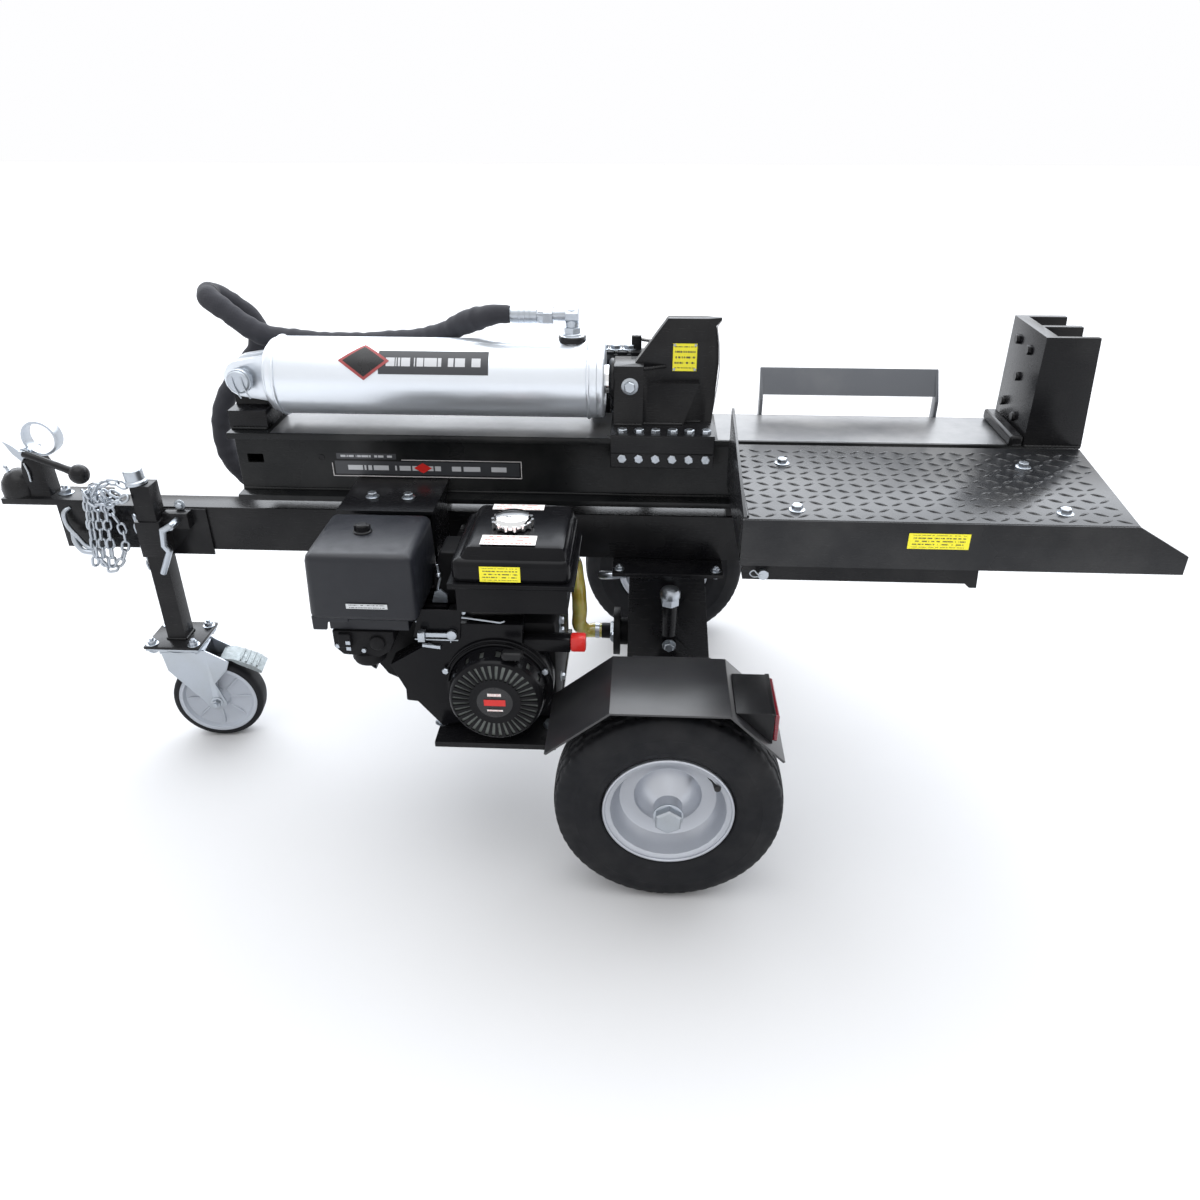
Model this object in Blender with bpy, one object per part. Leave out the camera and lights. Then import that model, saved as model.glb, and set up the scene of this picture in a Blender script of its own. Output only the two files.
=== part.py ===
"""Towable horizontal log splitter: hydraulic ram beam on a two-wheeled frame.

Metres, +Z up.  Lengths are worked out in the axle frame (X = 0 on the wheel axle and +X towards the
foot plate, Y = 0 on the centre line, Z = 0 on the ground).  One empty shifts that frame so that the
finished part stands on its bounding box's bottom centre.
"""
import bpy
import bmesh
from math import cos, pi, radians, sin, sqrt
from mathutils import Matrix, Vector

# ---------------------------------------------------------------- driving dimensions (metres)
HITCH_X = -1.410            # nose of the ball coupler
APRON_X = 0.800             # front tip of the table's apron
GAP = 0.0003                # clearance between pieces that touch
FIT = 0.0004                # clearance round a moving piece

TYRE_R = 0.207              # 4.80-8 trailer tyre
TYRE_W = 0.118
TRACK = 0.936
AXLE_Z = TYRE_R

BAR_HALF = 0.030            # drawbar, 60 x 98 hollow section
BAR_BOTTOM = 0.465
BAR_TOP = 0.563
BAR_REAR = -1.288
BAR_FRONT = 0.250
BAR_WALL = 0.005

BEAM_REAR = -0.870          # splitting beam: two flanges on a box web
BEAM_FRONT = 0.755
BEAM_BOTTOM = 0.603
BEAM_TOP = 0.744
BEAM_HALF = 0.080
FLANGE_T = 0.012
WEB_HALF = 0.048
WEB_WALL = 0.008

RAM_Z = 0.837               # hydraulic cylinder, 125 bore, 55 rod
BARREL_R = 0.074
BORE_R = 0.0625
BARREL_REAR = -0.786
BARREL_FRONT = -0.150
ROD_R = 0.0275
CLEVIS_X = -0.838
PISTON_REAR = -0.742
PISTON_FRONT = -0.715
GLAND_REAR = -0.170
PORT_X = -0.1985

SLIDE_REAR = -0.122         # wedge slide, gripping the beam's top flange
SLIDE_FRONT = 0.075
SLIDE_HALF = 0.094
SLIDE_TOP = 0.757
SLIDE_BOTTOM = 0.692
WEDGE_TOP = 0.956
EDGE_X = 0.082              # cutting edge

FOOT_X = 0.648              # foot plate's striking face
FOOT_T = 0.024
FOOT_HALF = 0.0865
FOOT_TOP = 0.947
RIB_T = 0.012

TABLE_REAR = 0.101          # chequer-plate table beside the beam
TABLE_FRONT = 0.714
TABLE_CORNER = 0.749
TABLE_Y = -0.436
TABLE_INNER = -0.0965
PLATE_T = 0.006
APRON_BOTTOM = 0.662
FIN_TOP = 0.815
ARM_XS = (0.190, 0.615)
ARM_HALF = 0.020

FENDER_TOP = 0.445
FENDER_OUT = 0.552
FENDER_IN = 0.378
FENDER_T = 0.004

TANK_REAR = -0.082
TANK_BOTTOM = 0.2325
TANK_NEAR = -0.090
TANK_FAR = 0.170

CRANK_X = -0.309            # engine crankshaft
CRANK_Z = 0.393
ENGINE_BASE = 0.289

LEG_X = -1.075              # jockey leg, 40 mm square tube
LEG_Y = -0.0545
LEG_HALF = 0.020
LEG_TOP = 0.625
CASTOR_R = 0.100
CASTOR_TRAIL = 0.055
CASTOR_TURN = radians(7.0)

COUPLER_X = -1.362          # centre of the ball socket
HOSE_R = 0.023              # fabric-sleeved pressure hose

ORIGIN_X = -(HITCH_X + APRON_X) / 2


# ---------------------------------------------------------------- scene and helpers
for stale in list(bpy.data.objects):
    bpy.data.objects.remove(stale, do_unlink=True)


def collection():
    return bpy.context.scene.collection


def empty(name, at=(0.0, 0.0, 0.0), parent=None):
    """An empty at a point of its parent's frame."""
    pivot = bpy.data.objects.new(name, None)
    pivot.location = at
    pivot.parent = parent
    collection().objects.link(pivot)
    return pivot


ROOT = empty("axle_frame", (ORIGIN_X, 0.0, 0.0))


def joint_at(name, at):
    """An empty on a joint's axis; at is in the axle frame."""
    return empty(name, at, ROOT)


def material(name, colour, roughness, metallic=0.0):
    made = bpy.data.materials.new(name)
    made.use_nodes = True
    shader = made.node_tree.nodes["Principled BSDF"]
    shader.inputs["Base Color"].default_value = (*colour, 1.0)
    shader.inputs["Roughness"].default_value = roughness
    shader.inputs["Metallic"].default_value = metallic
    return made


BLACK = material("black_gloss_paint", (0.012, 0.012, 0.014), 0.28)
SILVER = material("silver_paint", (0.62, 0.64, 0.66), 0.35, 0.35)
STEEL = material("machined_steel", (0.60, 0.60, 0.60), 0.25, 1.0)
ZINC = material("zinc_plate", (0.66, 0.68, 0.66), 0.35, 1.0)
RUBBER = material("black_rubber", (0.020, 0.020, 0.022), 0.75)
SLEEVE = material("hose_sleeve", (0.022, 0.022, 0.026), 0.85)
PLASTIC = material("grey_black_plastic", (0.030, 0.032, 0.034), 0.50)
ALLOY = material("black_alloy", (0.025, 0.025, 0.027), 0.45, 0.3)
RED = material("red_plastic", (0.60, 0.02, 0.015), 0.30)
CLEAR = material("amber_hose", (0.62, 0.55, 0.16), 0.20)


def place(name, mesh, finish, parent=None, smooth=False):
    """Put a mesh drawn in the axle frame under its parent empty, without moving it."""
    made = bpy.data.objects.new(name, mesh)
    holder = parent or ROOT
    made.parent = holder
    if holder is not ROOT:
        made.location = -holder.location
    mesh.materials.append(finish)
    if smooth:
        mesh.shade_smooth()
        mesh.set_sharp_from_angle(angle=radians(35))
    collection().objects.link(made)
    return made


def finish_mesh(bm, name):
    bmesh.ops.recalc_face_normals(bm, faces=bm.faces)
    mesh = bpy.data.meshes.new(name)
    bm.to_mesh(mesh)
    bm.free()
    return mesh


def prism(outline, axis, start, end):
    """A flat outline pushed along one axis.  X takes (y, z) points, Y takes (x, z), Z takes (x, y)."""
    def point(pair, along):
        first, second = pair
        return {"X": (along, first, second), "Y": (first, along, second), "Z": (first, second, along)}[axis]

    bm = bmesh.new()
    corners = [bm.verts.new(point(pair, start)) for pair in outline]
    face = bm.faces.new(corners)
    grown = bmesh.ops.extrude_face_region(bm, geom=[face])
    moved = [item for item in grown["geom"] if isinstance(item, bmesh.types.BMVert)]
    push = Vector(point((0.0, 0.0), end - start))
    bmesh.ops.translate(bm, verts=moved, vec=push)
    return finish_mesh(bm, "prism")


def block(low, high):
    return prism([(low[0], low[1]), (high[0], low[1]), (high[0], high[1]), (low[0], high[1])],
                 "Z", low[2], high[2])


def turned(profile, axis, centre, steps, ring=False, start_angle=0.0):
    """Spin (radius, height) points about an axis through centre.  ring closes the profile on itself."""
    bm = bmesh.new()
    along, across = {"X": (Vector((1, 0, 0)), Vector((0, 0, -1))),
                     "Y": (Vector((0, 1, 0)), Vector((0, 0, -1))),
                     "Z": (Vector((0, 0, 1)), Vector((1, 0, 0)))}[axis]
    across = Matrix.Rotation(start_angle, 3, along) @ across
    middle = Vector(centre)
    verts = [bm.verts.new(middle + across * radius + along * height) for radius, height in profile]
    pairs = list(zip(verts, verts[1:]))
    if ring:
        pairs.append((verts[-1], verts[0]))
    edges = [bm.edges.new(pair) for pair in pairs]
    bmesh.ops.spin(bm, geom=verts + edges, cent=middle, axis=along, angle=2 * pi, steps=steps,
                   use_merge=True, use_normal_flip=False, use_duplicate=False)
    bmesh.ops.remove_doubles(bm, verts=bm.verts, dist=0.00001)
    return finish_mesh(bm, "turned")


def rod(start, end, radius, sides=12):
    """A plain round bar between two points."""
    bm = bmesh.new()
    a, b = Vector(start), Vector(end)
    turn = (b - a).to_track_quat("Z", "Y").to_matrix().to_4x4()
    spot = Matrix.Translation((a + b) / 2) @ turn
    bmesh.ops.create_cone(bm, cap_ends=True, segments=sides, radius1=radius, radius2=radius,
                          depth=(b - a).length, matrix=spot)
    return finish_mesh(bm, "rod")


def bent_bar(knots, radius, sides):
    """A round bar with mitred bends that lies in a plane of constant Y."""
    bm = bmesh.new()
    points = [Vector(knot) for knot in knots]
    runs = [(after - before).normalized() for before, after in zip(points, points[1:])]
    rings = []
    for point, arriving, leaving in zip(points, runs[:1] + runs, runs + runs[-1:]):
        middle = (arriving + leaving).normalized()
        out = middle.cross(Vector((0, 1, 0))) / middle.dot(arriving)
        turns = [2 * pi * i / sides for i in range(sides)]
        rings.append([bm.verts.new(point + radius * (Vector((0, cos(a), 0)) + out * sin(a))) for a in turns])
    for first, second in zip(rings, rings[1:]):
        for i in range(sides):
            j = (i + 1) % sides
            bm.faces.new((first[i], first[j], second[j], second[i]))
    bm.faces.new(rings[0])
    bm.faces.new(rings[-1])
    return finish_mesh(bm, "bent_bar")


def ball(centre, radius, rings=8, sides=12):
    bm = bmesh.new()
    bmesh.ops.create_uvsphere(bm, u_segments=sides, v_segments=rings, radius=radius,
                              matrix=Matrix.Translation(centre))
    return finish_mesh(bm, "ball")


def combine(target, mesh, operation):
    """Join a shape to an object, or cut it out of it, with a live Boolean."""
    helper = bpy.data.objects.new(f"{target.name}.{operation.lower()}", mesh)
    helper.parent = target.parent
    helper.location = target.location
    helper.hide_render = True
    helper.display_type = "WIRE"
    collection().objects.link(helper)
    step = target.modifiers.new(operation.title(), "BOOLEAN")
    step.operation = operation
    step.solver = "EXACT"
    step.object = helper
    return target


def fuse(target, *meshes):
    for mesh in meshes:
        combine(target, mesh, "UNION")
    return target


def cut(target, *meshes):
    for mesh in meshes:
        combine(target, mesh, "DIFFERENCE")
    return target


def bevel(target, width, segments=2):
    step = target.modifiers.new("Bevel", "BEVEL")
    step.width = width
    step.segments = segments
    step.limit_method = "ANGLE"
    step.angle_limit = radians(40)
    return target


def smooth_route(knots, spacing):
    """Points along a centripetal Catmull-Rom curve through the knots, about spacing apart."""
    stops = [Vector(knot) for knot in knots]
    ends = [2 * stops[0] - stops[1]] + stops + [2 * stops[-1] - stops[-2]]
    route = [stops[0]]
    for before, here, there, after in zip(ends, ends[1:], ends[2:], ends[3:]):
        spans = [sqrt((b - a).length) for a, b in ((before, here), (here, there), (there, after))]
        slope_in = ((here - before) / spans[0] - (there - before) / (spans[0] + spans[1])
                    + (there - here) / spans[1]) * spans[1]
        slope_out = ((there - here) / spans[1] - (after - here) / (spans[1] + spans[2])
                     + (after - there) / spans[2]) * spans[1]
        pieces = max(1, round((there - here).length / spacing))
        for number in range(1, pieces + 1):
            t = number / pieces
            route.append(here * (2 * t ** 3 - 3 * t ** 2 + 1) + slope_in * (t ** 3 - 2 * t ** 2 + t)
                         + there * (3 * t ** 2 - 2 * t ** 3) + slope_out * (t ** 3 - t ** 2))
    return route


def hose(name, knots, radius, finish, resolution=3):
    """A hose: a round tube along a smooth route, with filled ends."""
    curve = bpy.data.curves.new(name, "CURVE")
    curve.dimensions = "3D"
    curve.bevel_depth = radius
    curve.bevel_resolution = resolution
    curve.render_resolution_u = 0
    curve.use_fill_caps = True
    route = smooth_route(knots, 2.2 * radius)
    spline = curve.splines.new("POLY")
    spline.points.add(len(route) - 1)
    for spot, point in zip(spline.points, route):
        spot.co = (*point, 1.0)
    curve.materials.append(finish)
    made = bpy.data.objects.new(name, curve)
    made.parent = ROOT
    collection().objects.link(made)
    return made


def arc(centre, radius, start, end, steps):
    """Points of an arc; angles in degrees, anticlockwise from the first axis."""
    angles = [radians(start + (end - start) * number / steps) for number in range(steps + 1)]
    return [(centre[0] + radius * cos(angle), centre[1] + radius * sin(angle)) for angle in angles]


# ---------------------------------------------------------------- chassis
def drawbar():
    made = place("drawbar", block((BAR_REAR, -BAR_HALF, BAR_BOTTOM), (BAR_FRONT, BAR_HALF, BAR_TOP)), BLACK)
    inner = BAR_HALF - BAR_WALL
    cut(made, block((BAR_REAR - 0.01, -inner, BAR_BOTTOM + BAR_WALL),
                    (BAR_FRONT + 0.01, inner, BAR_TOP - BAR_WALL)))
    saddle_top = BEAM_BOTTOM - GAP
    saddle_half = 0.024
    for rear, front in ((-0.560, -0.460), (0.112, 0.156)):
        fuse(made, block((rear, -saddle_half, BAR_TOP - 0.002), (front, saddle_half, saddle_top)))


def axle():
    half, stub_r = 0.025, 0.015
    beam_end = TRACK / 2 - 0.085
    stub_end = TRACK / 2 + 0.020
    made = place("axle", block((-half, -beam_end, AXLE_Z - half), (half, beam_end, AXLE_Z + half)), BLACK)
    fuse(made, rod((0, -stub_end, AXLE_Z), (0, stub_end, AXLE_Z), stub_r, 16))


def oil_tank():
    top = BAR_BOTTOM - GAP
    shell = [(TANK_REAR, top), (0.070, top), (0.094, TANK_BOTTOM), (TANK_REAR - 0.002, TANK_BOTTOM)]
    made = place("oil_tank", prism(shell, "Y", TANK_NEAR, TANK_FAR), BLACK)
    lip_t = 0.008
    lip = block((-0.117, TANK_NEAR - 0.008, top - lip_t), (0.108, TANK_FAR + 0.008, top))
    neck = rod((0.002, -0.116, 0.335), (0.002, -0.116, 0.422), 0.016, 16)
    elbow = rod((0.002, TANK_NEAR + 0.004, 0.351), (0.002, -0.118, 0.351), 0.014, 16)
    drain_boss = rod((0.004, TANK_NEAR + 0.004, 0.300), (0.004, TANK_NEAR - 0.014, 0.300), 0.016, 16)
    return_boss = rod((0.000, TANK_FAR - 0.004, 0.400), (0.000, TANK_FAR + 0.020, 0.400), 0.018, 16)
    fuse(made, lip, elbow, neck, drain_boss, return_boss)
    wall = 0.005
    hollow = [(TANK_REAR + wall, top - 2 * wall), (0.064, top - 2 * wall), (0.088, TANK_BOTTOM + wall),
              (TANK_REAR + wall, TANK_BOTTOM + wall)]
    cut(made, prism(hollow, "Y", TANK_NEAR + wall, TANK_FAR - wall))
    cut(made, rod((0.002, TANK_NEAR + 0.010, 0.351), (0.002, -0.116, 0.351), 0.009, 12),
        rod((0.002, -0.116, 0.346), (0.002, -0.116, 0.434), 0.011, 12))


def breather_cap():
    at = (0.002, -0.116, 0.424)
    pivot = joint_at("breather_joint", at)
    low = 0.422 + GAP - at[2]
    profile = [(0, low), (0.021, low), (0.021, 0.010), (0.017, 0.017), (0.008, 0.021), (0, 0.021)]
    place("breather_cap", turned(profile, "Z", at, 20), STEEL, pivot, True)


def suction_line():
    face = TANK_REAR - 0.002 - GAP
    centre = (0.0, -0.035, 0.290)
    profile = [(0, face), (0.030, face), (0.030, face - 0.016), (0.052, face - 0.016),
               (0.052, face - 0.030), (0.017, face - 0.030), (0.017, face - 0.056), (0, face - 0.056)]
    place("suction_flange", turned(profile, "X", centre, 20), STEEL, None, True)
    start = face - 0.056 - GAP
    knots = [(start, -0.035, 0.290), (start - 0.018, -0.035, 0.290), (start - 0.036, -0.039, 0.292),
             (start - 0.048, -0.046, 0.310), (start - 0.047, -0.050, 0.345), (start - 0.048, -0.050, 0.383),
             (start - 0.051, -0.047, 0.412), (start - 0.055, -0.032, 0.431), (start - 0.060, -0.008, 0.440),
             (start - 0.068, 0.016, 0.435), (start - 0.082, 0.034, 0.422), (start - 0.099, 0.040, 0.415),
             (-0.2576, 0.040, 0.415)]
    hose("suction_hose", knots, 0.0155, CLEAR, 2)


def fender(side, name):
    """Folded mudguard over one wheel, with the strut that carries it on the axle."""
    slope_in, slope_out = -0.105, 0.095
    tail, nose = (-0.215, 0.357), (0.190, 0.355)
    upper = [tail, (slope_in, FENDER_TOP), (slope_out, FENDER_TOP), nose]
    lower = [(nose[0] - 0.004, nose[1] - 0.002), (slope_out - 0.002, FENDER_TOP - FENDER_T),
             (slope_in + 0.002, FENDER_TOP - FENDER_T), (tail[0] + 0.004, tail[1] - 0.002)]
    outer, inner = side * FENDER_OUT, side * FENDER_IN
    made = place(name, prism(upper + lower, "Y", min(outer, inner), max(outer, inner)), BLACK)
    axle_top = AXLE_Z + 0.025 + GAP
    low_y, high_y = sorted((inner, inner - side * 0.006))
    strut = [(-0.040, axle_top), (0.040, axle_top), (0.070, FENDER_TOP - 0.002), (-0.070, FENDER_TOP - 0.002)]
    fuse(made, prism(strut, "Y", low_y - (0.0 if side > 0 else 0.002), high_y + (0.002 if side > 0 else 0.0)))


def tail_lamp(side, name):
    """Wedge-shaped lamp box that sits on the mudguard's front flap."""
    slope = (0.355 - FENDER_TOP) / (0.190 - 0.095)
    lift = 0.0008
    rear, front, top = 0.104, 0.168, 0.4385
    flap = FENDER_TOP + slope * (rear - 0.095) + lift
    foot = FENDER_TOP + slope * (front - 0.095) + lift
    outline = [(rear, flap), (front, foot), (front, top), (rear, top)]
    place(name, prism(outline, "Y", *sorted((side * 0.532, side * 0.414))), BLACK)


# ---------------------------------------------------------------- wheels
def road_wheel(side, label):
    centre = (0.0, side * TRACK / 2, AXLE_Z)
    pivot = joint_at(f"wheel_{label}_joint", centre)
    tyre_steps = 32
    flat = 1 / cos(pi / tyre_steps)
    half = TYRE_W / 2
    bead_half, bead_r = 0.046, 0.1185
    section = [(bead_r, -bead_half), (0.140, -half * 0.93), (0.170, -half), (0.192, -half * 0.90),
               (0.2045, -half * 0.66), (TYRE_R, -half * 0.45), (TYRE_R, half * 0.45), (0.2045, half * 0.66),
               (0.192, half * 0.90), (0.170, half), (0.140, half * 0.93), (bead_r, bead_half)]
    section = [(radius * flat, height) for radius, height in section]
    place(f"tyre_{label}", turned(section, "Y", centre, tyre_steps, True, pi / tyre_steps), RUBBER, pivot,
          True)
    rim_r = 0.1185 - GAP
    hub_out, bore_r, bore_deep = side * 0.062, 0.0155, side * 0.0215
    outline = [(0, hub_out), (0.022, hub_out), (0.026, side * 0.034), (0.050, side * 0.020),
               (0.062, side * 0.004), (0.088, side * 0.010), (0.100, side * 0.028), (0.104, side * 0.046),
               (rim_r, side * 0.050), (rim_r, side * -0.050), (0.104, side * -0.046), (0.092, side * -0.004),
               (0.062, side * -0.004), (0.046, side * 0.012), (0.030, side * 0.020), (0.030, side * -0.050),
               (bore_r, side * -0.050), (bore_r, bore_deep), (0, bore_deep)]
    place(f"rim_{label}", turned(outline, "Y", centre, 32), SILVER, pivot, True)


# ---------------------------------------------------------------- beam, ram and foot
def beam():
    top, bottom = BEAM_TOP, BEAM_BOTTOM
    half = [(WEB_HALF, bottom + FLANGE_T), (BEAM_HALF, bottom + FLANGE_T), (BEAM_HALF, bottom)]
    upper = [(BEAM_HALF, top), (BEAM_HALF, top - FLANGE_T), (WEB_HALF, top - FLANGE_T)]
    right = upper + half
    left = [(-y, z) for y, z in reversed(right)]
    made = place("beam", prism(right + left, "X", BEAM_REAR, BEAM_FRONT), BLACK)
    inner = WEB_HALF - WEB_WALL
    cut(made, block((BEAM_REAR - 0.01, -inner, bottom + FLANGE_T),
                    (BEAM_FRONT + 0.01, inner, top - FLANGE_T)))
    slot = block((BEAM_REAR + 0.020, -0.06, 0.672), (BEAM_REAR + 0.052, 0.0, 0.690))
    cut(made, slot)


def foot_plate():
    base = BEAM_TOP + GAP
    made = place("foot_plate", block((FOOT_X, -FOOT_HALF, base), (FOOT_X + FOOT_T, FOOT_HALF, FOOT_TOP)),
                 BLACK)
    for middle in (-FOOT_HALF + RIB_T / 2, 0.0, FOOT_HALF - RIB_T / 2):
        rib = [(FOOT_X + FOOT_T - 0.002, base), (BEAM_FRONT, base), (BEAM_FRONT - 0.012, FOOT_TOP),
               (FOOT_X + FOOT_T - 0.002, FOOT_TOP)]
        fuse(made, prism(rib, "Y", middle - RIB_T / 2, middle + RIB_T / 2))


def cylinder():
    centre = (0.0, 0.0, RAM_Z)
    cap = BARREL_REAR
    profile = [(0, cap), (0.060, cap), (0.070, cap + 0.006), (BARREL_R, cap + 0.018),
               (BARREL_R, BARREL_FRONT),
               (BORE_R, BARREL_FRONT), (BORE_R, cap + 0.036), (0, cap + 0.036)]
    made = place("cylinder_barrel", turned(profile, "X", centre, 32), SILVER, None, True)
    eye_r = 0.036
    eye = arc((CLEVIS_X, RAM_Z), eye_r, 90, 270, 8)
    cheek = eye + [(cap + 0.010, RAM_Z - 0.046), (cap + 0.010, RAM_Z + 0.046)]
    for inner, outer in ((0.0130, 0.032), (-0.032, -0.0130)):
        ear = prism(cheek, "Y", inner, outer)
        fuse(made, ear)
    boss = rod((PORT_X, 0, RAM_Z + BARREL_R - 0.006), (PORT_X, 0, RAM_Z + BARREL_R + 0.010), 0.023, 16)
    base_boss = rod((-0.715, BARREL_R - 0.006, RAM_Z), (-0.715, BARREL_R + 0.012, RAM_Z), 0.020, 16)
    fuse(made, boss, base_boss)
    cut(made, rod((CLEVIS_X, -0.06, RAM_Z), (CLEVIS_X, 0.06, RAM_Z), 0.0184, 16))

    gland = [(ROD_R + FIT, GLAND_REAR), (BORE_R - GAP, GLAND_REAR), (BORE_R - GAP, BARREL_FRONT + GAP),
             (0.0735, BARREL_FRONT + GAP), (0.0735, -0.139), (0.070, -0.136), (ROD_R + FIT, -0.136)]
    place("cylinder_gland", turned(gland, "X", centre, 32, True), SILVER, None, True)


def clevis():
    base, pin_r = BEAM_TOP + GAP, 0.018
    made = place("clevis_bracket", block((-0.869, -0.056, base), (-0.794, 0.056, 0.781)), BLACK)
    lug_half = 0.0125
    lug = arc((CLEVIS_X, RAM_Z), 0.030, 0, 180, 8) + [(-0.868, 0.778), (-0.808, 0.778)]
    fuse(made, prism(lug, "Y", -lug_half, lug_half))
    cut(made, rod((CLEVIS_X, -0.03, RAM_Z), (CLEVIS_X, 0.03, RAM_Z), pin_r + FIT, 16))
    profile = [(0, -0.052), (0.024, -0.052), (0.024, -0.038), (pin_r, -0.038), (pin_r, 0.052), (0, 0.052)]
    place("clevis_pin", turned(profile, "Y", (CLEVIS_X, 0, RAM_Z), 16), ZINC, None, True)


def ram():
    """Piston, rod and wedge: everything that the oil pushes along the beam."""
    pivot = joint_at("ram_joint", (0.0, 0.0, RAM_Z))
    piston_r, rod_end = BORE_R - FIT, -0.100
    profile = [(0, PISTON_REAR), (piston_r, PISTON_REAR), (piston_r, PISTON_FRONT), (ROD_R, PISTON_FRONT),
               (ROD_R, rod_end), (0, rod_end)]
    place("piston_rod", turned(profile, "X", (0, 0, RAM_Z), 24), STEEL, pivot, True)

    under = BEAM_TOP - FLANGE_T - FIT
    grip = BEAM_HALF + FIT
    right = [(SLIDE_HALF, SLIDE_TOP), (SLIDE_HALF, SLIDE_BOTTOM), (0.054, SLIDE_BOTTOM), (0.054, under),
             (grip, under), (grip, BEAM_TOP + FIT)]
    left = [(-y, z) for y, z in reversed(right)]
    made = place("wedge", prism(right + left, "X", SLIDE_REAR, SLIDE_FRONT), BLACK, pivot)
    sunk = SLIDE_TOP - 0.002
    fuse(made, block((-0.118, -0.036, sunk), (-0.062, 0.036, 0.872)))
    body_half, edge_half, taper = 0.011, 0.0015, 0.056
    plan = [(-0.080, -body_half), (taper, -body_half), (EDGE_X, -edge_half), (EDGE_X, edge_half),
            (taper, body_half), (-0.080, body_half)]
    blade = place("blade_outline", prism(plan, "Z", sunk, WEDGE_TOP), BLACK, pivot)
    crown = [(-0.2, 1.1), (-0.2, 0.870), (-0.080, 0.870), (-0.018, WEDGE_TOP + 0.0001), (-0.018, 1.1)]
    face = [(0.2, WEDGE_TOP + 0.001), (EDGE_X, WEDGE_TOP - 0.004), (0.072, 0.941), (0.0785, 0.905),
            (0.0805, 0.870), (0.078, 0.830), (0.072, sunk - 0.01), (0.2, sunk - 0.01)]
    cut(blade, prism(crown, "Y", -0.1, 0.1), prism(face, "Y", -0.1, 0.1))
    blade.hide_render = True
    blade.display_type = "WIRE"
    step = made.modifiers.new("Union", "BOOLEAN")
    step.operation = "UNION"
    step.solver = "EXACT"
    step.object = blade
    cheek = [(-0.064, sunk), (0.016, sunk), (0.045, 0.838), (-0.064, 0.838)]
    cone = [(-0.064, -0.034), (-0.018, -0.010), (-0.018, 0.010), (-0.064, 0.034)]
    fuse(made, prism(cheek, "Y", -0.028, 0.028), prism(cone, "Z", sunk, 0.866))
    cut(made, rod((-0.13, 0, RAM_Z), (rod_end + GAP, 0, RAM_Z), ROD_R + GAP, 24))


# ---------------------------------------------------------------- hydraulics
def port_elbow():
    base = RAM_Z + BARREL_R + 0.010 + GAP
    height = 0.958
    made = place("rod_port_elbow", rod((PORT_X, 0, base), (PORT_X, 0, height + 0.011), 0.0125, 12), STEEL)
    fuse(made, rod((PORT_X + 0.009, 0, height), (-0.262, 0, height), 0.0110, 12))
    fuse(made, rod((-0.236, 0, height), (-0.262, 0, height), 0.0165, 6))
    fuse(made, rod((-0.260, 0, height), (-0.315, 0, height), 0.0145, 12))


def rod_hose():
    """Sleeved pressure hose: over the barrel, round a free loop at the tail, and back to the valve."""
    knots = [(-0.3153, 0.000, 0.958), (-0.340, 0.000, 0.958), (-0.375, 0.018, 0.947), (-0.418, 0.044, 0.928),
             (-0.460, 0.068, 0.909), (-0.510, 0.083, 0.896), (-0.600, 0.092, 0.886), (-0.705, 0.092, 0.884),
             (-0.778, 0.092, 0.889), (-0.828, 0.088, 0.898), (-0.866, 0.090, 0.915), (-0.902, 0.096, 0.938),
             (-0.940, 0.116, 0.958), (-0.951, 0.152, 0.960), (-0.930, 0.188, 0.934), (-0.893, 0.202, 0.895),
             (-0.885, 0.190, 0.845), (-0.920, 0.165, 0.795), (-0.960, 0.148, 0.740), (-0.978, 0.138, 0.675),
             (-0.966, 0.132, 0.610), (-0.925, 0.129, 0.560), (-0.855, 0.127, 0.535), (-0.740, 0.126, 0.530),
             (-0.560, 0.126, 0.545), (-0.380, 0.128, 0.560), (-0.230, 0.131, 0.600), (-0.150, 0.133, 0.670),
             (-0.130, 0.133, 0.740), (-0.130, 0.133, 0.7897)]
    hose("rod_hose", knots, HOSE_R, SLEEVE)


def control_valve():
    made = place("control_valve", block((-0.170, 0.107, 0.790), (-0.055, 0.159, 0.856)), BLACK)
    bracket = block((-0.168, BEAM_HALF + GAP, 0.700), (-0.128, 0.090, 0.812))
    strap = block((-0.168, 0.086, 0.796), (-0.128, 0.112, 0.812))
    spool = rod((-0.060, 0.133, 0.823), (-0.020, 0.133, 0.823), 0.014, 12)
    lug = block((-0.088, 0.128, 0.850), (-0.068, 0.138, 0.888))
    return_port = rod((-0.075, 0.133, 0.792), (-0.075, 0.133, 0.776), 0.014, 12)
    fuse(made, bracket, strap, spool, lug, return_port)


def valve_lever():
    pivot_at = (-0.078, 0.145, 0.880)
    pivot = joint_at("valve_lever_joint", pivot_at)
    hub = rod((pivot_at[0], 0.138 + FIT, pivot_at[2]), (pivot_at[0], 0.154, pivot_at[2]), 0.009, 12)
    made = place("valve_lever", hub, STEEL, pivot, True)
    knob_at = (0.034, 0.145, 0.862)
    fuse(made, rod((-0.076, 0.145, 0.8800), (0.026, 0.145, 0.8630), 0.005, 8), ball(knob_at, 0.015))


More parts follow.
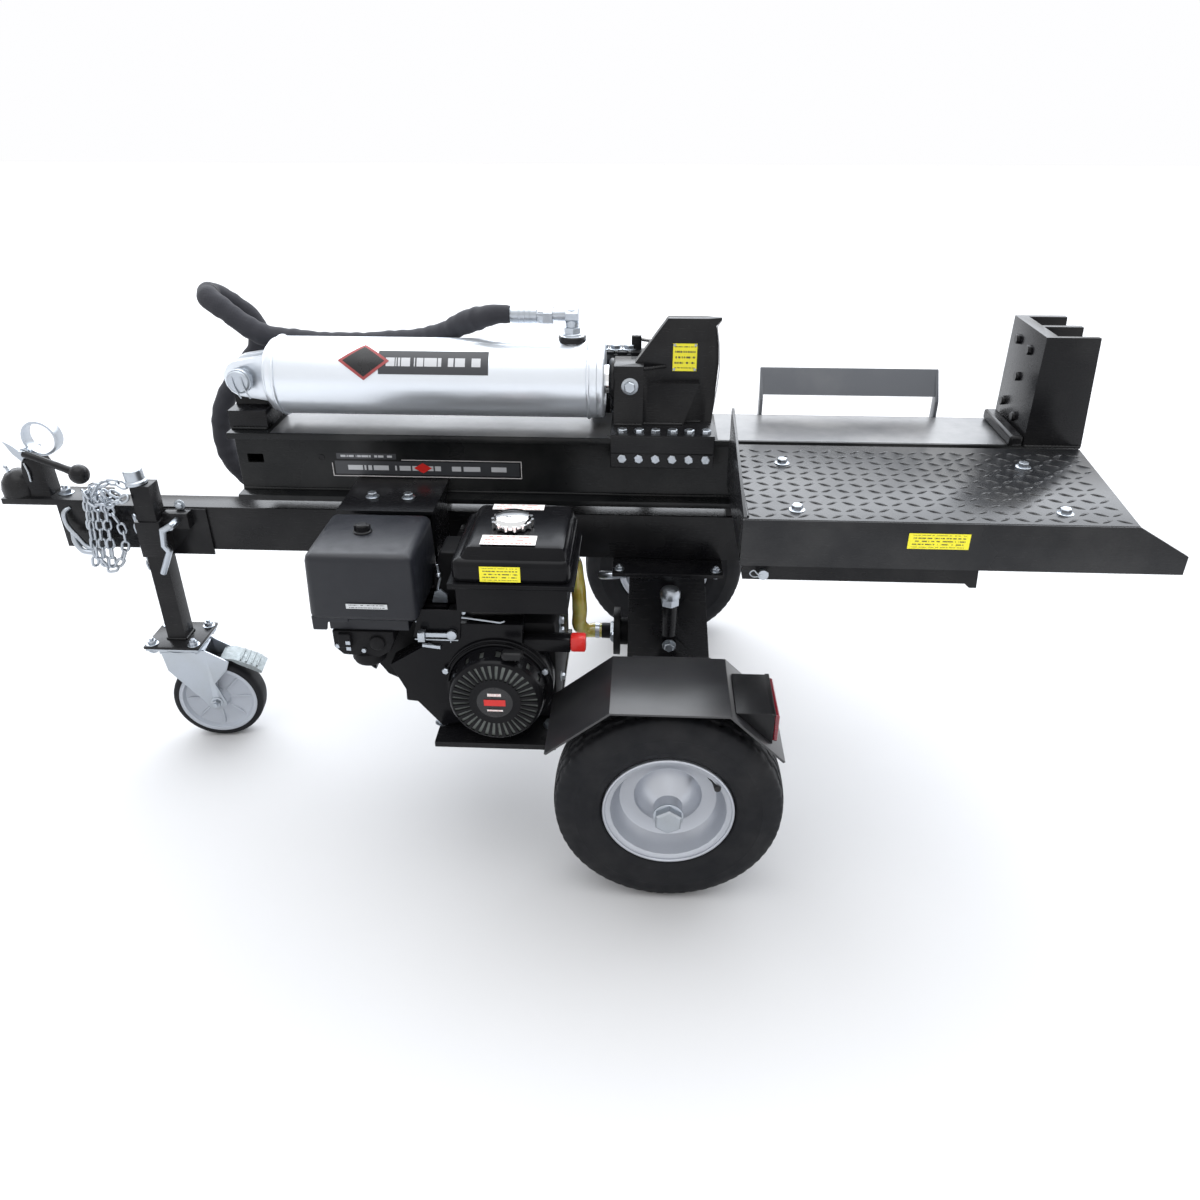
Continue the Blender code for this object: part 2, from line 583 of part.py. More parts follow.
def plain_hoses():
    """The hoses behind the beam: cylinder base, pump pressure and tank return."""
    base = [(-0.715, 0.0863, 0.837), (-0.715, 0.108, 0.837), (-0.702, 0.128, 0.837), (-0.670, 0.136, 0.836),
            (-0.450, 0.136, 0.832), (-0.300, 0.135, 0.828), (-0.195, 0.133, 0.826), (-0.1703, 0.133, 0.826)]
    hose("base_hose", base, 0.011, RUBBER, 2)
    back = [(-0.075, 0.133, 0.7757), (-0.075, 0.133, 0.745), (-0.070, 0.145, 0.690), (-0.050, 0.175, 0.610),
            (-0.020, 0.228, 0.520), (0.000, 0.248, 0.430), (0.000, 0.220, 0.400), (0.000, 0.1903, 0.400)]
    hose("return_hose", back, 0.013, RUBBER, 2)
    feed = [(-0.313, 0.0763, 0.440), (-0.313, 0.100, 0.440), (-0.300, 0.165, 0.455), (-0.262, 0.192, 0.520),
            (-0.205, 0.200, 0.620), (-0.140, 0.204, 0.720), (-0.106, 0.203, 0.790), (-0.103, 0.183, 0.823),
            (-0.103, 0.1593, 0.823)]
    hose("pressure_hose", feed, 0.0105, RUBBER, 2)


# ---------------------------------------------------------------- table and guard
def log_table():
    under = BEAM_TOP - PLATE_T
    lap = 0.002
    outline = [(TABLE_REAR + lap, TABLE_Y + lap), (TABLE_FRONT, TABLE_Y + lap), (TABLE_CORNER, TABLE_INNER),
               (TABLE_REAR + lap, TABLE_INNER)]
    made = place("log_table", prism(outline, "Z", under, BEAM_TOP), BLACK)
    apron_top = BEAM_TOP - 0.001
    apron = [(TABLE_REAR, APRON_BOTTOM), (APRON_X, APRON_BOTTOM), (APRON_X, 0.694), (TABLE_FRONT, apron_top),
             (TABLE_REAR, apron_top)]
    fuse(made, prism(apron, "Y", TABLE_Y, TABLE_Y + PLATE_T))
    inner = TABLE_INNER - lap
    fin_low = TABLE_Y + 2 * lap
    fin = [(fin_low, APRON_BOTTOM + lap), (inner, APRON_BOTTOM + lap), (inner, FIN_TOP),
           (fin_low, BEAM_TOP + lap)]
    fuse(made, prism(fin, "X", TABLE_REAR + lap / 2, TABLE_REAR + PLATE_T))
    arm_top = under + 0.001
    arm = [(-0.432, 0.700), (-0.150, 0.700), (-0.150, 0.640), (-WEB_HALF - GAP, 0.640),
           (-WEB_HALF - GAP, 0.680), (-0.108, 0.680), (-0.108, arm_top), (-0.432, arm_top)]
    for middle in ARM_XS:
        fuse(made, prism(arm, "X", middle - ARM_HALF, middle + ARM_HALF))


def table_rail():
    near, far = TABLE_Y + PLATE_T + GAP, TABLE_Y + 0.036
    rear = TABLE_REAR + PLATE_T + GAP
    outline = [(rear, 0.634), (0.466, 0.634), (0.474, 0.627), (0.486, 0.627), (0.482, 0.694), (rear, 0.694)]
    made = place("table_rail", prism(outline, "Y", near, far), BLACK)
    cut(made, rod((0.139, near - 0.01, 0.650), (0.139, far + 0.01, 0.650), 0.0054, 12))


def table_pin():
    """Cross pin that locks the table rail; it pulls out towards the near side."""
    at = (0.139, TABLE_Y + 0.016, 0.650)
    pivot = joint_at("table_pin_joint", at)
    near, far = TABLE_Y - 0.006, TABLE_Y + 0.044
    place("table_pin", rod((at[0], near, at[2]), (at[0], far, at[2]), 0.005, 12), ZINC, pivot, True)


def log_guard():
    """Leaning bar on two legs that keeps logs from rolling off the far side."""
    bar = [(0.1090, 0.7775), (0.1145, 0.7748), (0.1405, 0.8235), (0.1350, 0.8262)]
    made = place("log_guard", prism(bar, "X", 0.177, 0.536), BLACK)
    leg = [(WEB_HALF + GAP, 0.640), (0.125, 0.640), (0.125, 0.7800), (0.1398, 0.8232), (0.1345, 0.8250),
           (0.099, 0.770), (0.099, 0.684), (WEB_HALF + GAP, 0.684)]
    for rear in (0.1765, 0.5305):
        fuse(made, prism(leg, "X", rear, rear + 0.006))


# ---------------------------------------------------------------- engine
def engine_frame():
    made = place("engine_cradle", block((-0.428, -0.440, 0.277), (-0.206, -0.0303, ENGINE_BASE - GAP)), BLACK)
    for rear in (-0.426, -0.222):
        fuse(made, block((rear, -0.1195, 0.283), (rear + 0.008, -BAR_HALF - GAP, 0.550)))


def heat_guard():
    """Bent plate that shields the beam from the exhaust."""
    shelf = [(-0.212, 0.637), (-WEB_HALF - GAP, 0.637), (-WEB_HALF - GAP, 0.645), (-0.212, 0.645)]
    guard = place("heat_guard", prism(shelf, "X", -0.628, -0.446), BLACK)
    fuse(guard, block((-0.452, -0.205, 0.5303), (-0.446, -0.084, 0.640)))


def crankcase():
    made = place("crankcase", block((-0.413, -0.360, ENGINE_BASE), (-0.207, -0.122, 0.500)), ALLOY)
    bevel(made, 0.012)


def cylinder_head():
    outline = [(-0.4133, 0.335), (-0.455, 0.345), (-0.520, 0.378), (-0.556, 0.430), (-0.556, 0.480),
               (-0.520, 0.498), (-0.4133, 0.498)]
    place("cylinder_head", prism(outline, "Y", -0.340, -0.150), ALLOY)


def muffler():
    made = place("muffler", block((-0.605, -0.208, 0.520), (-0.462, -0.092, 0.606)), ALLOY)
    bevel(made, 0.014)


def carburettor():
    outline = [(-0.600, 0.500), (-0.600, 0.466), (-0.585, 0.450), (-0.520, 0.446), (-0.500, 0.458),
               (-0.490, 0.4803), (-0.490, 0.500)]
    place("carburettor", prism(outline, "Y", -0.405, -0.3403), ALLOY)


def air_cleaner():
    place("air_cleaner_base", block((-0.604, -0.400, 0.5003), (-0.462, -0.262, 0.5297)), PLASTIC)
    low, high = (-0.628, -0.426, 0.530), (-0.437, -0.242, 0.657)
    taper = 0.004
    made = place("air_cleaner_cover", block(low, high), PLASTIC)
    for vert in made.data.vertices:
        if vert.co.z > 0.6:
            vert.co.x += taper if vert.co.x < -0.53 else -taper
            vert.co.y += taper if vert.co.y < -0.33 else -taper
    bevel(made, 0.014, 3)
    inset = 0.020
    cut(made, block((low[0] + inset, low[1] + inset, low[2] - 0.002),
                    (high[0] - inset, high[1] - inset, high[2] - 0.010)))


def fan_shroud():
    """Fan housing with the wing that guides the air over the cylinder."""
    centre, radius = (CRANK_X, CRANK_Z), 0.0985
    wing = [(-0.262, 0.520), (-0.400, 0.520), (-0.425, 0.480), (-0.504, 0.430), (-0.4805, 0.377),
            (-0.4812, 0.353),
            (-0.461, 0.351), (-0.420, 0.2985)]
    outline = arc(centre, radius, -72, 62, 12) + wing + arc(centre, radius, 236, 276, 4)
    made = place("fan_shroud", prism(outline, "Y", -0.403, -0.3603), ALLOY)
    fuse(made, block((-0.262, -0.398, 0.462), (-0.1793, -0.370, 0.488)))
    bevel(made, 0.004)


def recoil_cover():
    back = -0.4033
    profile = [(0, back), (0.0955, back), (0.0955, back - 0.006), (0.0900, back - 0.009),
               (0.0865, back - 0.042), (0.0830, back - 0.051), (0.0765, back - 0.055), (0, back - 0.055)]
    place("recoil_cover", turned(profile, "Y", (CRANK_X, 0, CRANK_Z), 32), ALLOY, None, True)


def recoil_grip():
    low, high = (-0.2930, -0.4610, 0.4800), (-0.2560, -0.4400, 0.4960)
    at = tuple((a + b) / 2 for a, b in zip(low, high))
    pivot = joint_at("recoil_joint", at)
    made = place("recoil_grip", block(low, high), PLASTIC, pivot)
    bevel(made, 0.005)


def fuel_tank():
    """Pressed tank: a deep lower half, a seam bead and an upper half with a raised plateau."""
    rear, front, near, far = -0.3765, -0.1755, -0.4225, -0.219
    seam, shoulder, crown, lean = 0.606, 0.652, 0.674, 0.013
    lean_rear, lean_front = 0.026, 0.008
    made = place("fuel_tank", block((rear, near, seam), (front, far, shoulder + 0.001)), BLACK)
    bevel(made, 0.014, 3)
    crest = block((rear + 0.001, near + 0.001, seam + 0.020), (front - 0.001, far - 0.001, crown))
    plateau = place("plateau_outline", crest, BLACK)
    for vert in plateau.data.vertices:
        if vert.co.z > shoulder:
            vert.co.x += lean_rear if vert.co.x < -0.28 else -lean_front
            vert.co.y += lean if vert.co.y < -0.33 else -lean
    bevel(plateau, 0.010, 2)
    plateau.hide_render = True
    plateau.display_type = "WIRE"
    step = made.modifiers.new("Union", "BOOLEAN")
    step.operation = "UNION"
    step.solver = "EXACT"
    step.object = plateau
    fuse(made, block((rear - 0.006, near - 0.005, 0.601), (front + 0.006, far + 0.005, 0.611)))
    fuse(made, block((rear + 0.006, near + 0.004, 0.552), (front - 0.006, far - 0.004, 0.606)))
    cap = (-0.281, -0.326)
    fuse(made, rod((*cap, 0.660), (*cap, 0.676), 0.024, 16))
    cut(made, block((rear + 0.012, near + 0.010, 0.557), (front - 0.012, far - 0.010, 0.606)))
    cut(made, block((rear + 0.034, near + 0.022, 0.604), (front - 0.018, far - 0.022, 0.660)))
    cut(made, rod((*cap, 0.640), (*cap, 0.690), 0.018, 16))


def fuel_cap():
    at = (-0.281, -0.326, 0.6763)
    pivot = joint_at("fuel_cap_joint", at)
    profile = [(0, 0), (0.033, 0), (0.033, 0.010), (0.029, 0.017), (0.015, 0.020), (0, 0.020)]
    place("fuel_cap", turned(profile, "Z", at, 20), STEEL, pivot, True)


def engine_controls():
    switch_at = (-0.166, -0.392, 0.481)
    pivot = joint_at("switch_joint", switch_at)
    made = place("engine_switch", block((-0.1790, -0.403, 0.466), (-0.1520, -0.381, 0.496)), RED, pivot)
    bevel(made, 0.004)
    lever_at = (-0.385, -0.4145, 0.502)
    pivot = joint_at("throttle_joint", lever_at)
    hub = rod((lever_at[0], -0.4075, lever_at[2]), (lever_at[0], -0.4155, lever_at[2]), 0.009, 12)
    lever = place("throttle_lever", hub, STEEL, pivot, True)
    fuse(lever, block((-0.440, -0.4150, 0.498), (-0.385, -0.4110, 0.506)),
         block((-0.442, -0.426, 0.494), (-0.430, -0.4115, 0.512)))


def pump():
    bell = [(0, -0.1217), (0.066, -0.1217), (0.066, -0.108), (0.052, -0.070), (0.046, -0.0353), (0, -0.0353)]
    place("bell_housing", turned(bell, "Y", (CRANK_X, 0, CRANK_Z), 24), ALLOY, None, True)
    made = place("gear_pump", block((-0.356, -0.035, 0.372), (-0.270, 0.070, 0.460)), ALLOY)
    bevel(made, 0.006, 1)
    fuse(made, rod((-0.272, 0.040, 0.415), (-0.2579, 0.040, 0.415), 0.019, 16))
    fuse(made, rod((CRANK_X, 0.068, 0.440), (CRANK_X, 0.076, 0.440), 0.014, 12))


# ---------------------------------------------------------------- hitch and jockey wheel
def coupler():
    base = BAR_TOP + GAP
    made = place("coupler_body", block((-1.400, -0.036, base), (-1.192, 0.036, 0.576)), BLACK)
    socket = [(0, 0.570), (0.036, 0.570), (0.0375, 0.590), (0.034, 0.606), (0.024, 0.620), (0.010, 0.628),
              (0, 0.629)]
    nose = COUPLER_X
    fuse(made, turned(socket, "Z", (nose - 0.0105, 0, 0), 20))
    neck = [(-1.352, 0.572), (-1.300, 0.572), (-1.302, 0.640), (-1.312, 0.664), (-1.338, 0.664),
            (-1.346, 0.640)]
    fuse(made, prism(neck, "Y", -0.020, 0.020))
    cut(made, rod((nose - 0.0105, 0, 0.55), (nose - 0.0105, 0, 0.600), 0.0255, 16))


def coupler_latch():
    """Release handle: a strap loop and a ball-ended arm on one hub over the neck."""
    at = (-1.325, 0.0, 0.674)
    pivot = joint_at("latch_joint", at)
    made = place("coupler_latch", rod((at[0], -0.020, at[2]), (at[0], 0.020, at[2]), 0.0095, 12), ZINC, pivot,
                 True)
    ring_centre = (-1.2945, 0.7005)
    outer, inner = 0.037, 0.032
    band = turned([(inner, -0.013), (outer, -0.013), (outer, 0.013), (inner, 0.013)], "Y",
                  (ring_centre[0], 0, ring_centre[1]), 24, True)
    fuse(made, band)
    arm = rod((-1.322, -0.030, 0.674), (-1.216, -0.052, 0.646), 0.006, 8)
    link = block((-1.332, -0.034, 0.667), (-1.318, -0.016, 0.681))
    fuse(made, link, arm, ball((-1.203, -0.055, 0.642), 0.0195))


def jockey_clamp():
    low_y, face = LEG_Y - LEG_HALF - 0.005, -BAR_HALF - GAP
    made = place("jockey_clamp", block((-1.120, face - 0.004, 0.455), (-0.968, face, 0.560)), BLACK)
    fuse(made, block((LEG_X - 0.0255, low_y, 0.468), (LEG_X + 0.0255, face - 0.001, 0.548)))
    fuse(made, block((-1.050, -0.058, 0.525), (-0.998, face - 0.001, 0.559)))
    half = LEG_HALF + FIT
    cut(made, block((LEG_X - half, LEG_Y - half, 0.40), (LEG_X + half, LEG_Y + half, 0.60)))


def clamp_handle():
    """Cranked bar on the screw that locks the jockey leg."""
    at = (-1.020, -0.0585, 0.545)
    pivot = joint_at("clamp_joint", at)
    made = place("clamp_handle", rod((at[0], -0.0584, at[2]), (at[0], -0.094, at[2]), 0.0075, 10), ZINC,
                 pivot, True)
    knots = [(-1.016, -0.091, 0.549), (-1.0385, -0.091, 0.536), (-1.0425, -0.091, 0.502),
             (-1.0345, -0.091, 0.489),
             (-1.0590, -0.091, 0.437)]
    fuse(made, bent_bar(knots, 0.0065, 10))


def jockey_leg():
    pivot = joint_at("jockey_joint", (LEG_X, LEG_Y, 0.508))
    tube = block((LEG_X - LEG_HALF, LEG_Y - LEG_HALF, 0.260), (LEG_X + LEG_HALF, LEG_Y + LEG_HALF, LEG_TOP))
    made = place("jockey_leg", tube, BLACK, pivot)
    fuse(made, block((LEG_X - 0.060, LEG_Y - 0.055, 0.258), (LEG_X + 0.060, LEG_Y + 0.055, 0.264)))
    fuse(made, rod((LEG_X - 0.012, LEG_Y, LEG_TOP - 0.002), (LEG_X - 0.016, LEG_Y, LEG_TOP + 0.030), 0.015,
                   12))
    plate = place("castor_plate", block((LEG_X - 0.058, LEG_Y - 0.053, 0.2520),
                                        (LEG_X + 0.058, LEG_Y + 0.053, 0.2577)),
                  ZINC, pivot)
    fuse(plate, rod((LEG_X, LEG_Y, 0.253), (LEG_X, LEG_Y, 0.2425), 0.036, 20))


def castor():
    """Swivelling fork, wheel and brake pedal, turned a little away from straight ahead."""
    swivel = joint_at("swivel_joint", (LEG_X, LEG_Y, 0.230))
    trail = Vector((cos(CASTOR_TURN), sin(CASTOR_TURN), 0.0))
    foot = Vector((LEG_X, LEG_Y, 0.0))
    frame = Matrix.Translation(foot) @ Matrix.Rotation(CASTOR_TURN, 4, "Z")

    def turned_mesh(mesh):
        mesh.transform(frame)
        return mesh

    axle_z, cheek_in, cheek_out = CASTOR_R, 0.028, 0.032
    head = [(-0.043, 0.2422), (0.040, 0.2422), (0.052, 0.2340), (-0.043, 0.2340)]
    fork = place("castor_fork", turned_mesh(prism(head, "Y", 0.001 - cheek_out, cheek_out - 0.001)), ZINC,
                 swivel)
    cheek = [(-0.040, 0.238), (-0.034, 0.190), (0.028, 0.104)] + arc((CASTOR_TRAIL, axle_z), 0.022, 190, 350,
                                                                     6) \
        + [(0.060, 0.150), (0.092, 0.185), (0.100, 0.206), (0.052, 0.238)]
    for near, far in ((-cheek_out, -cheek_in), (cheek_in, cheek_out)):
        fuse(fork, turned_mesh(prism(cheek, "Y", near, far)))
    fuse(fork, turned_mesh(rod((CASTOR_TRAIL, -0.040, axle_z), (CASTOR_TRAIL, 0.040, axle_z), 0.008, 12)))

    hub = foot + trail * CASTOR_TRAIL + Vector((0, 0, axle_z))
    roll = joint_at("castor_roll_joint", hub)
    steps = 24
    flat = 1 / cos(pi / steps)
    half, bore = 0.024, 0.0085
    section = [(bore, -0.0275), (0.022, -0.0275), (0.026, -0.010), (0.080, -0.010), (0.084, -half),
               (0.092, -half),
               (0.100, -half * 0.8), (0.100, half * 0.8), (0.092, half), (0.084, half), (0.080, 0.010),
               (0.026, 0.010), (0.022, 0.0275), (bore, 0.0275)]
    section = [(radius * flat, height) for radius, height in section]
    wheel = turned(section, "Y", (CASTOR_TRAIL, 0, axle_z), steps, True, pi / steps)
    place("castor_wheel", turned_mesh(wheel), RUBBER, roll, True)

    hinge = foot + trail * 0.092 + Vector((0, 0, 0.212))
    tread = joint_at("brake_joint", hinge)
    pedal = [(0.080, 0.2125), (0.104, 0.2125), (0.150, 0.192), (0.168, 0.176), (0.164, 0.170), (0.118, 0.196),
             (0.104, 0.2065), (0.080, 0.2065)]
    place("castor_brake", turned_mesh(prism(pedal, "Y", -0.0275, 0.0275)), ZINC, tread)


def safety_chain():
    """Outer shape of the towing chain where it hangs over the drawbar."""
    face = -BAR_HALF - 0.020
    knots = [(-1.232, face, 0.478), (-1.214, face - 0.004, 0.462), (-1.188, face - 0.008, 0.440),
             (-1.170, face - 0.008, 0.432), (-1.156, face - 0.006, 0.448), (-1.160, face - 0.004, 0.500),
             (-1.180, face - 0.002, 0.560), (-1.200, face, 0.590), (-1.185, face + 0.004, 0.606),
             (-1.150, face + 0.006, 0.610), (-1.120, face + 0.006, 0.600)]
    hose("safety_chain", knots, 0.0120, ZINC, 2)


# ---------------------------------------------------------------- assembly
drawbar()
axle()
oil_tank()
breather_cap()
suction_line()
for wheel_side, wheel_name in ((-1, "near"), (1, "far")):
    fender(wheel_side, f"fender_{wheel_name}")
    tail_lamp(wheel_side, f"tail_lamp_{wheel_name}")
    road_wheel(wheel_side, wheel_name)
beam()
foot_plate()
cylinder()
clevis()
ram()
port_elbow()
rod_hose()
control_valve()
valve_lever()
plain_hoses()
log_table()
table_rail()
table_pin()
log_guard()
engine_frame()
heat_guard()
crankcase()
cylinder_head()
muffler()
carburettor()
air_cleaner()
fan_shroud()
recoil_cover()
recoil_grip()
fuel_tank()
fuel_cap()
engine_controls()
pump()
coupler()
coupler_latch()
jockey_clamp()
clamp_handle()
jockey_leg()
castor()
safety_chain()
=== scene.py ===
"""Looks of the towable log splitter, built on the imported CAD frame.

Metres, +Z up.  Places are given in the axle frame (X = 0 on the wheel axle, +X towards the foot plate,
Y = 0 on the centre line, Z = 0 on the ground) and moved to the row frame by one shift.
"""
import random
from math import ceil, cos, pi, radians, sin, sqrt, tau

import bmesh
import bpy
from mathutils import Matrix, Vector


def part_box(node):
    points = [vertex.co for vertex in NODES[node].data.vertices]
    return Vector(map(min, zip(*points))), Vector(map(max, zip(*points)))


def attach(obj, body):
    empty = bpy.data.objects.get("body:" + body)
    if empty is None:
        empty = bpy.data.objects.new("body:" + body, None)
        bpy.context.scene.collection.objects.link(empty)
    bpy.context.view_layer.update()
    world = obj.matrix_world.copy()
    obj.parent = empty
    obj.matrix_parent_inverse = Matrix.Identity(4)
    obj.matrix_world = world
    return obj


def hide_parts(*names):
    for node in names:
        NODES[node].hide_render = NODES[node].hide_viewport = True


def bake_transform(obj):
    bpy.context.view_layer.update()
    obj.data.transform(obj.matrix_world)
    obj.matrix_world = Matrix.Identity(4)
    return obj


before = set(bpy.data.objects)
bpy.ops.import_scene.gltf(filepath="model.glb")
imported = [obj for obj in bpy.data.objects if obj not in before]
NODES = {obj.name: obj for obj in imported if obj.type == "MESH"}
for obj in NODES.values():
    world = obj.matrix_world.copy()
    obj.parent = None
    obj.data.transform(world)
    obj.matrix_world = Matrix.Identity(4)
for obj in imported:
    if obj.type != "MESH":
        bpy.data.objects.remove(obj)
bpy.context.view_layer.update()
DICE = random.Random(7)


def middle(node):
    low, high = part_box(node)
    return (Vector(low) + Vector(high)) / 2


SHIFT = Vector((middle("rim_near").x, 0.0, 0.0))
WHEEL_Y = 0.468          # middle of a road wheel from the centre line
WHEEL_RADIUS = 0.207
CYLINDER_Z = 0.837       # height of the cylinder's axis
BEAM_TOP = 0.744
UP, DOWN = (0, 0, 1), (0, 0, -1)
NEARWARD, FARWARD = (0, -1, 0), (0, 1, 0)
FORWARD, REARWARD = (1, 0, 0), (-1, 0, 0)


# ---------------------------------------------------------------- camera, floor and light
def camera():
    data = bpy.data.cameras.new("camera")
    data.lens = 28.68
    data.sensor_width = 36.0
    made = bpy.data.objects.new("camera", data)
    made.location = Vector((-0.0571, -1.8186, 1.3734)) + SHIFT
    made.rotation_euler = (radians(60.56), radians(0.045), radians(2.79))
    bpy.context.scene.collection.objects.link(made)
    bpy.context.scene.camera = made


def sky():
    """Even pale light, a broad bank behind and above the machine and a softer panel overhead."""
    world = bpy.data.worlds.new("studio")
    bpy.context.scene.world = world
    world.use_nodes = True
    tree = world.node_tree
    split = tree.nodes.new("ShaderNodeSeparateXYZ")
    tree.links.new(tree.nodes.new("ShaderNodeTexCoord").outputs["Generated"], split.inputs["Vector"])

    def fade(axis, edge, full):
        node = tree.nodes.new("ShaderNodeMapRange")
        node.interpolation_type = "SMOOTHSTEP"
        node.inputs["From Min"].default_value = edge
        node.inputs["From Max"].default_value = full
        tree.links.new(split.outputs[axis], node.inputs["Value"])
        return node.outputs["Result"]

    def blend(factor, first, colour):
        node = tree.nodes.new("ShaderNodeMix")
        node.data_type = "RGBA"
        tree.links.new(factor, node.inputs["Factor"])
        if isinstance(first, tuple):
            node.inputs[6].default_value = (*first, 1.0)
        else:
            tree.links.new(first, node.inputs[6])
        node.inputs[7].default_value = (*colour, 1.0)
        return node.outputs[2]

    both = tree.nodes.new("ShaderNodeMath")
    both.operation = "MULTIPLY"
    tree.links.new(fade("Z", 0.16, 0.42), both.inputs[0])
    tree.links.new(fade("Y", 0.10, 0.55), both.inputs[1])
    light = blend(both.outputs[0], EVEN_LIGHT, BANK_LIGHT)
    light = blend(fade("Z", 0.72, 0.94), light, OVERHEAD_LIGHT)
    tree.links.new(light, tree.nodes["Background"].inputs["Color"])
    bpy.context.scene.view_settings.view_transform = "Standard"


EVEN_LIGHT = (0.99, 0.99, 1.0)
BANK_LIGHT = (5.0, 5.2, 5.5)
OVERHEAD_LIGHT = (3.2, 3.25, 3.3)


def floor():
    mesh = bpy.data.meshes.new("floor")
    reach = 14.0
    mesh.from_pydata([(-reach, -reach, 0), (reach, -reach, 0), (reach, reach, 0), (-reach, reach, 0)], [],
        [(0, 1, 2, 3)])
    made = bpy.data.objects.new("floor", mesh)
    made.location.z = -0.0015
    bpy.context.scene.collection.objects.link(made)
    mesh.materials.append(matte("floor_paint", (0.50, 0.50, 0.505), 0.9))


# ---------------------------------------------------------------- materials
class Shader:
    """A Principled material and short calls that wire procedural detail into it."""

    def __init__(self, name, colour, roughness, metallic=0.0):
        self.material = bpy.data.materials.new(name)
        self.material.use_nodes = True
        self.tree = self.material.node_tree
        self.surface = self.tree.nodes["Principled BSDF"]
        self.surface.inputs["Base Color"].default_value = (*colour, 1.0)
        self.surface.inputs["Roughness"].default_value = roughness
        self.surface.inputs["Metallic"].default_value = metallic
        self.place = self.tree.nodes.new("ShaderNodeTexCoord").outputs["Object"]
        self.height = None

    def link(self, out, into):
        self.tree.links.new(out, into)

    def noise(self, scale, detail=3.0, stretch=None, roughness=0.5):
        node = self.tree.nodes.new("ShaderNodeTexNoise")
        node.inputs["Scale"].default_value = scale
        node.inputs["Detail"].default_value = detail
        node.inputs["Roughness"].default_value = roughness
        source = self.place
        if stretch:
            mapping = self.tree.nodes.new("ShaderNodeMapping")
            mapping.inputs["Scale"].default_value = stretch
            self.link(source, mapping.inputs["Vector"])
            source = mapping.outputs["Vector"]
        self.link(source, node.inputs["Vector"])
        return node.outputs["Fac"]

    def spread(self, fac, low, high, start=0.3, end=0.7):
        node = self.tree.nodes.new("ShaderNodeMapRange")
        node.inputs["From Min"].default_value = start
        node.inputs["From Max"].default_value = end
        node.inputs["To Min"].default_value = low
        node.inputs["To Max"].default_value = high
        self.link(fac, node.inputs["Value"])
        return node.outputs["Result"]

    def mix(self, fac, first, second):
        node = self.tree.nodes.new("ShaderNodeMix")
        node.data_type = "RGBA"
        self.link(fac, node.inputs["Factor"])
        for value, slot in ((first, 6), (second, 7)):
            if isinstance(value, tuple):
                node.inputs[slot].default_value = (*value, 1.0)
            else:
                self.link(value, node.inputs[slot])
        return node.outputs[2]

    def math(self, operation, first, second=None):
        node = self.tree.nodes.new("ShaderNodeMath")
        node.operation = operation
        for value, slot in ((first, 0), (second, 1)):
            if value is None:
                continue
            if isinstance(value, (int, float)):
                node.inputs[slot].default_value = value
            else:
                self.link(value, node.inputs[slot])
        return node.outputs[0]

    def bump(self, height, strength, distance):
        node = self.tree.nodes.new("ShaderNodeBump")
        node.inputs["Strength"].default_value = strength
        node.inputs["Distance"].default_value = distance
        self.link(height, node.inputs["Height"])
        if self.height:
            self.link(self.height, node.inputs["Normal"])
        self.height = node.outputs["Normal"]
        self.link(self.height, self.surface.inputs["Normal"])

    def vary(self, slot, out):
        self.link(out, self.surface.inputs[slot])


def matte(name, colour, roughness):
    made = Shader(name, colour, roughness)
    made.vary("Roughness", made.spread(made.noise(6.0), roughness - 0.04, roughness + 0.04))
    return made.material


def paint(name, colour, roughness, dust=0.05, peel=0.10, metallic=0.0, gloss=0.2):
    """Sprayed enamel: orange peel, a thin film of dust and fine rubbed-in scuffs."""
    made = Shader(name, colour, roughness, metallic)
    film = made.spread(made.noise(7.0, 5.0, None, 0.6), 0.0, dust, 0.42, 0.75)
    made.vary("Base Color", made.mix(film, colour, (0.42, 0.41, 0.39)))
    cloud = made.spread(made.noise(5.0, 4.0), roughness * 0.86, roughness * 1.12)
    scuff = made.spread(made.noise(34.0, 4.0, (1.0, 7.0, 7.0), 0.7), 0.0, 0.08, 0.56, 0.72)
    made.vary("Roughness", made.math("ADD", cloud, scuff))
    made.surface.inputs["Specular IOR Level"].default_value = gloss
    made.bump(made.noise(380.0, 1.5), peel, 0.0005)
    return made.material


def metal(name, colour, roughness, stretch=None, tint=None, scale=160.0, stain=0.35):
    """Bare or plated metal: fine tooling or plating grain and slight staining."""
    made = Shader(name, colour, roughness, 1.0)
    cloud = made.spread(made.noise(16.0, 4.0), 0.0, stain, 0.4, 0.78)
    made.vary("Base Color", made.mix(cloud, colour, tint or tuple(part * 0.78 for part in colour)))
    grain = made.noise(scale, 3.0, stretch)
    made.vary("Roughness", made.spread(grain, roughness * 0.82, roughness * 1.25))
    made.bump(grain, 0.10, 0.0003)
    return made.material


def rubber(name, colour, roughness, grain=260.0, dust=0.10, gloss=0.2):
    made = Shader(name, colour, roughness)
    film = made.spread(made.noise(14.0, 5.0), 0.0, dust, 0.4, 0.72)
    made.vary("Base Color", made.mix(film, colour, (0.36, 0.34, 0.31)))
    made.vary("Roughness", made.spread(made.noise(40.0), roughness - 0.1, min(1.0, roughness + 0.08)))
    made.surface.inputs["Specular IOR Level"].default_value = gloss
    made.bump(made.noise(grain, 2.0), 0.22, 0.0006)
    return made.material


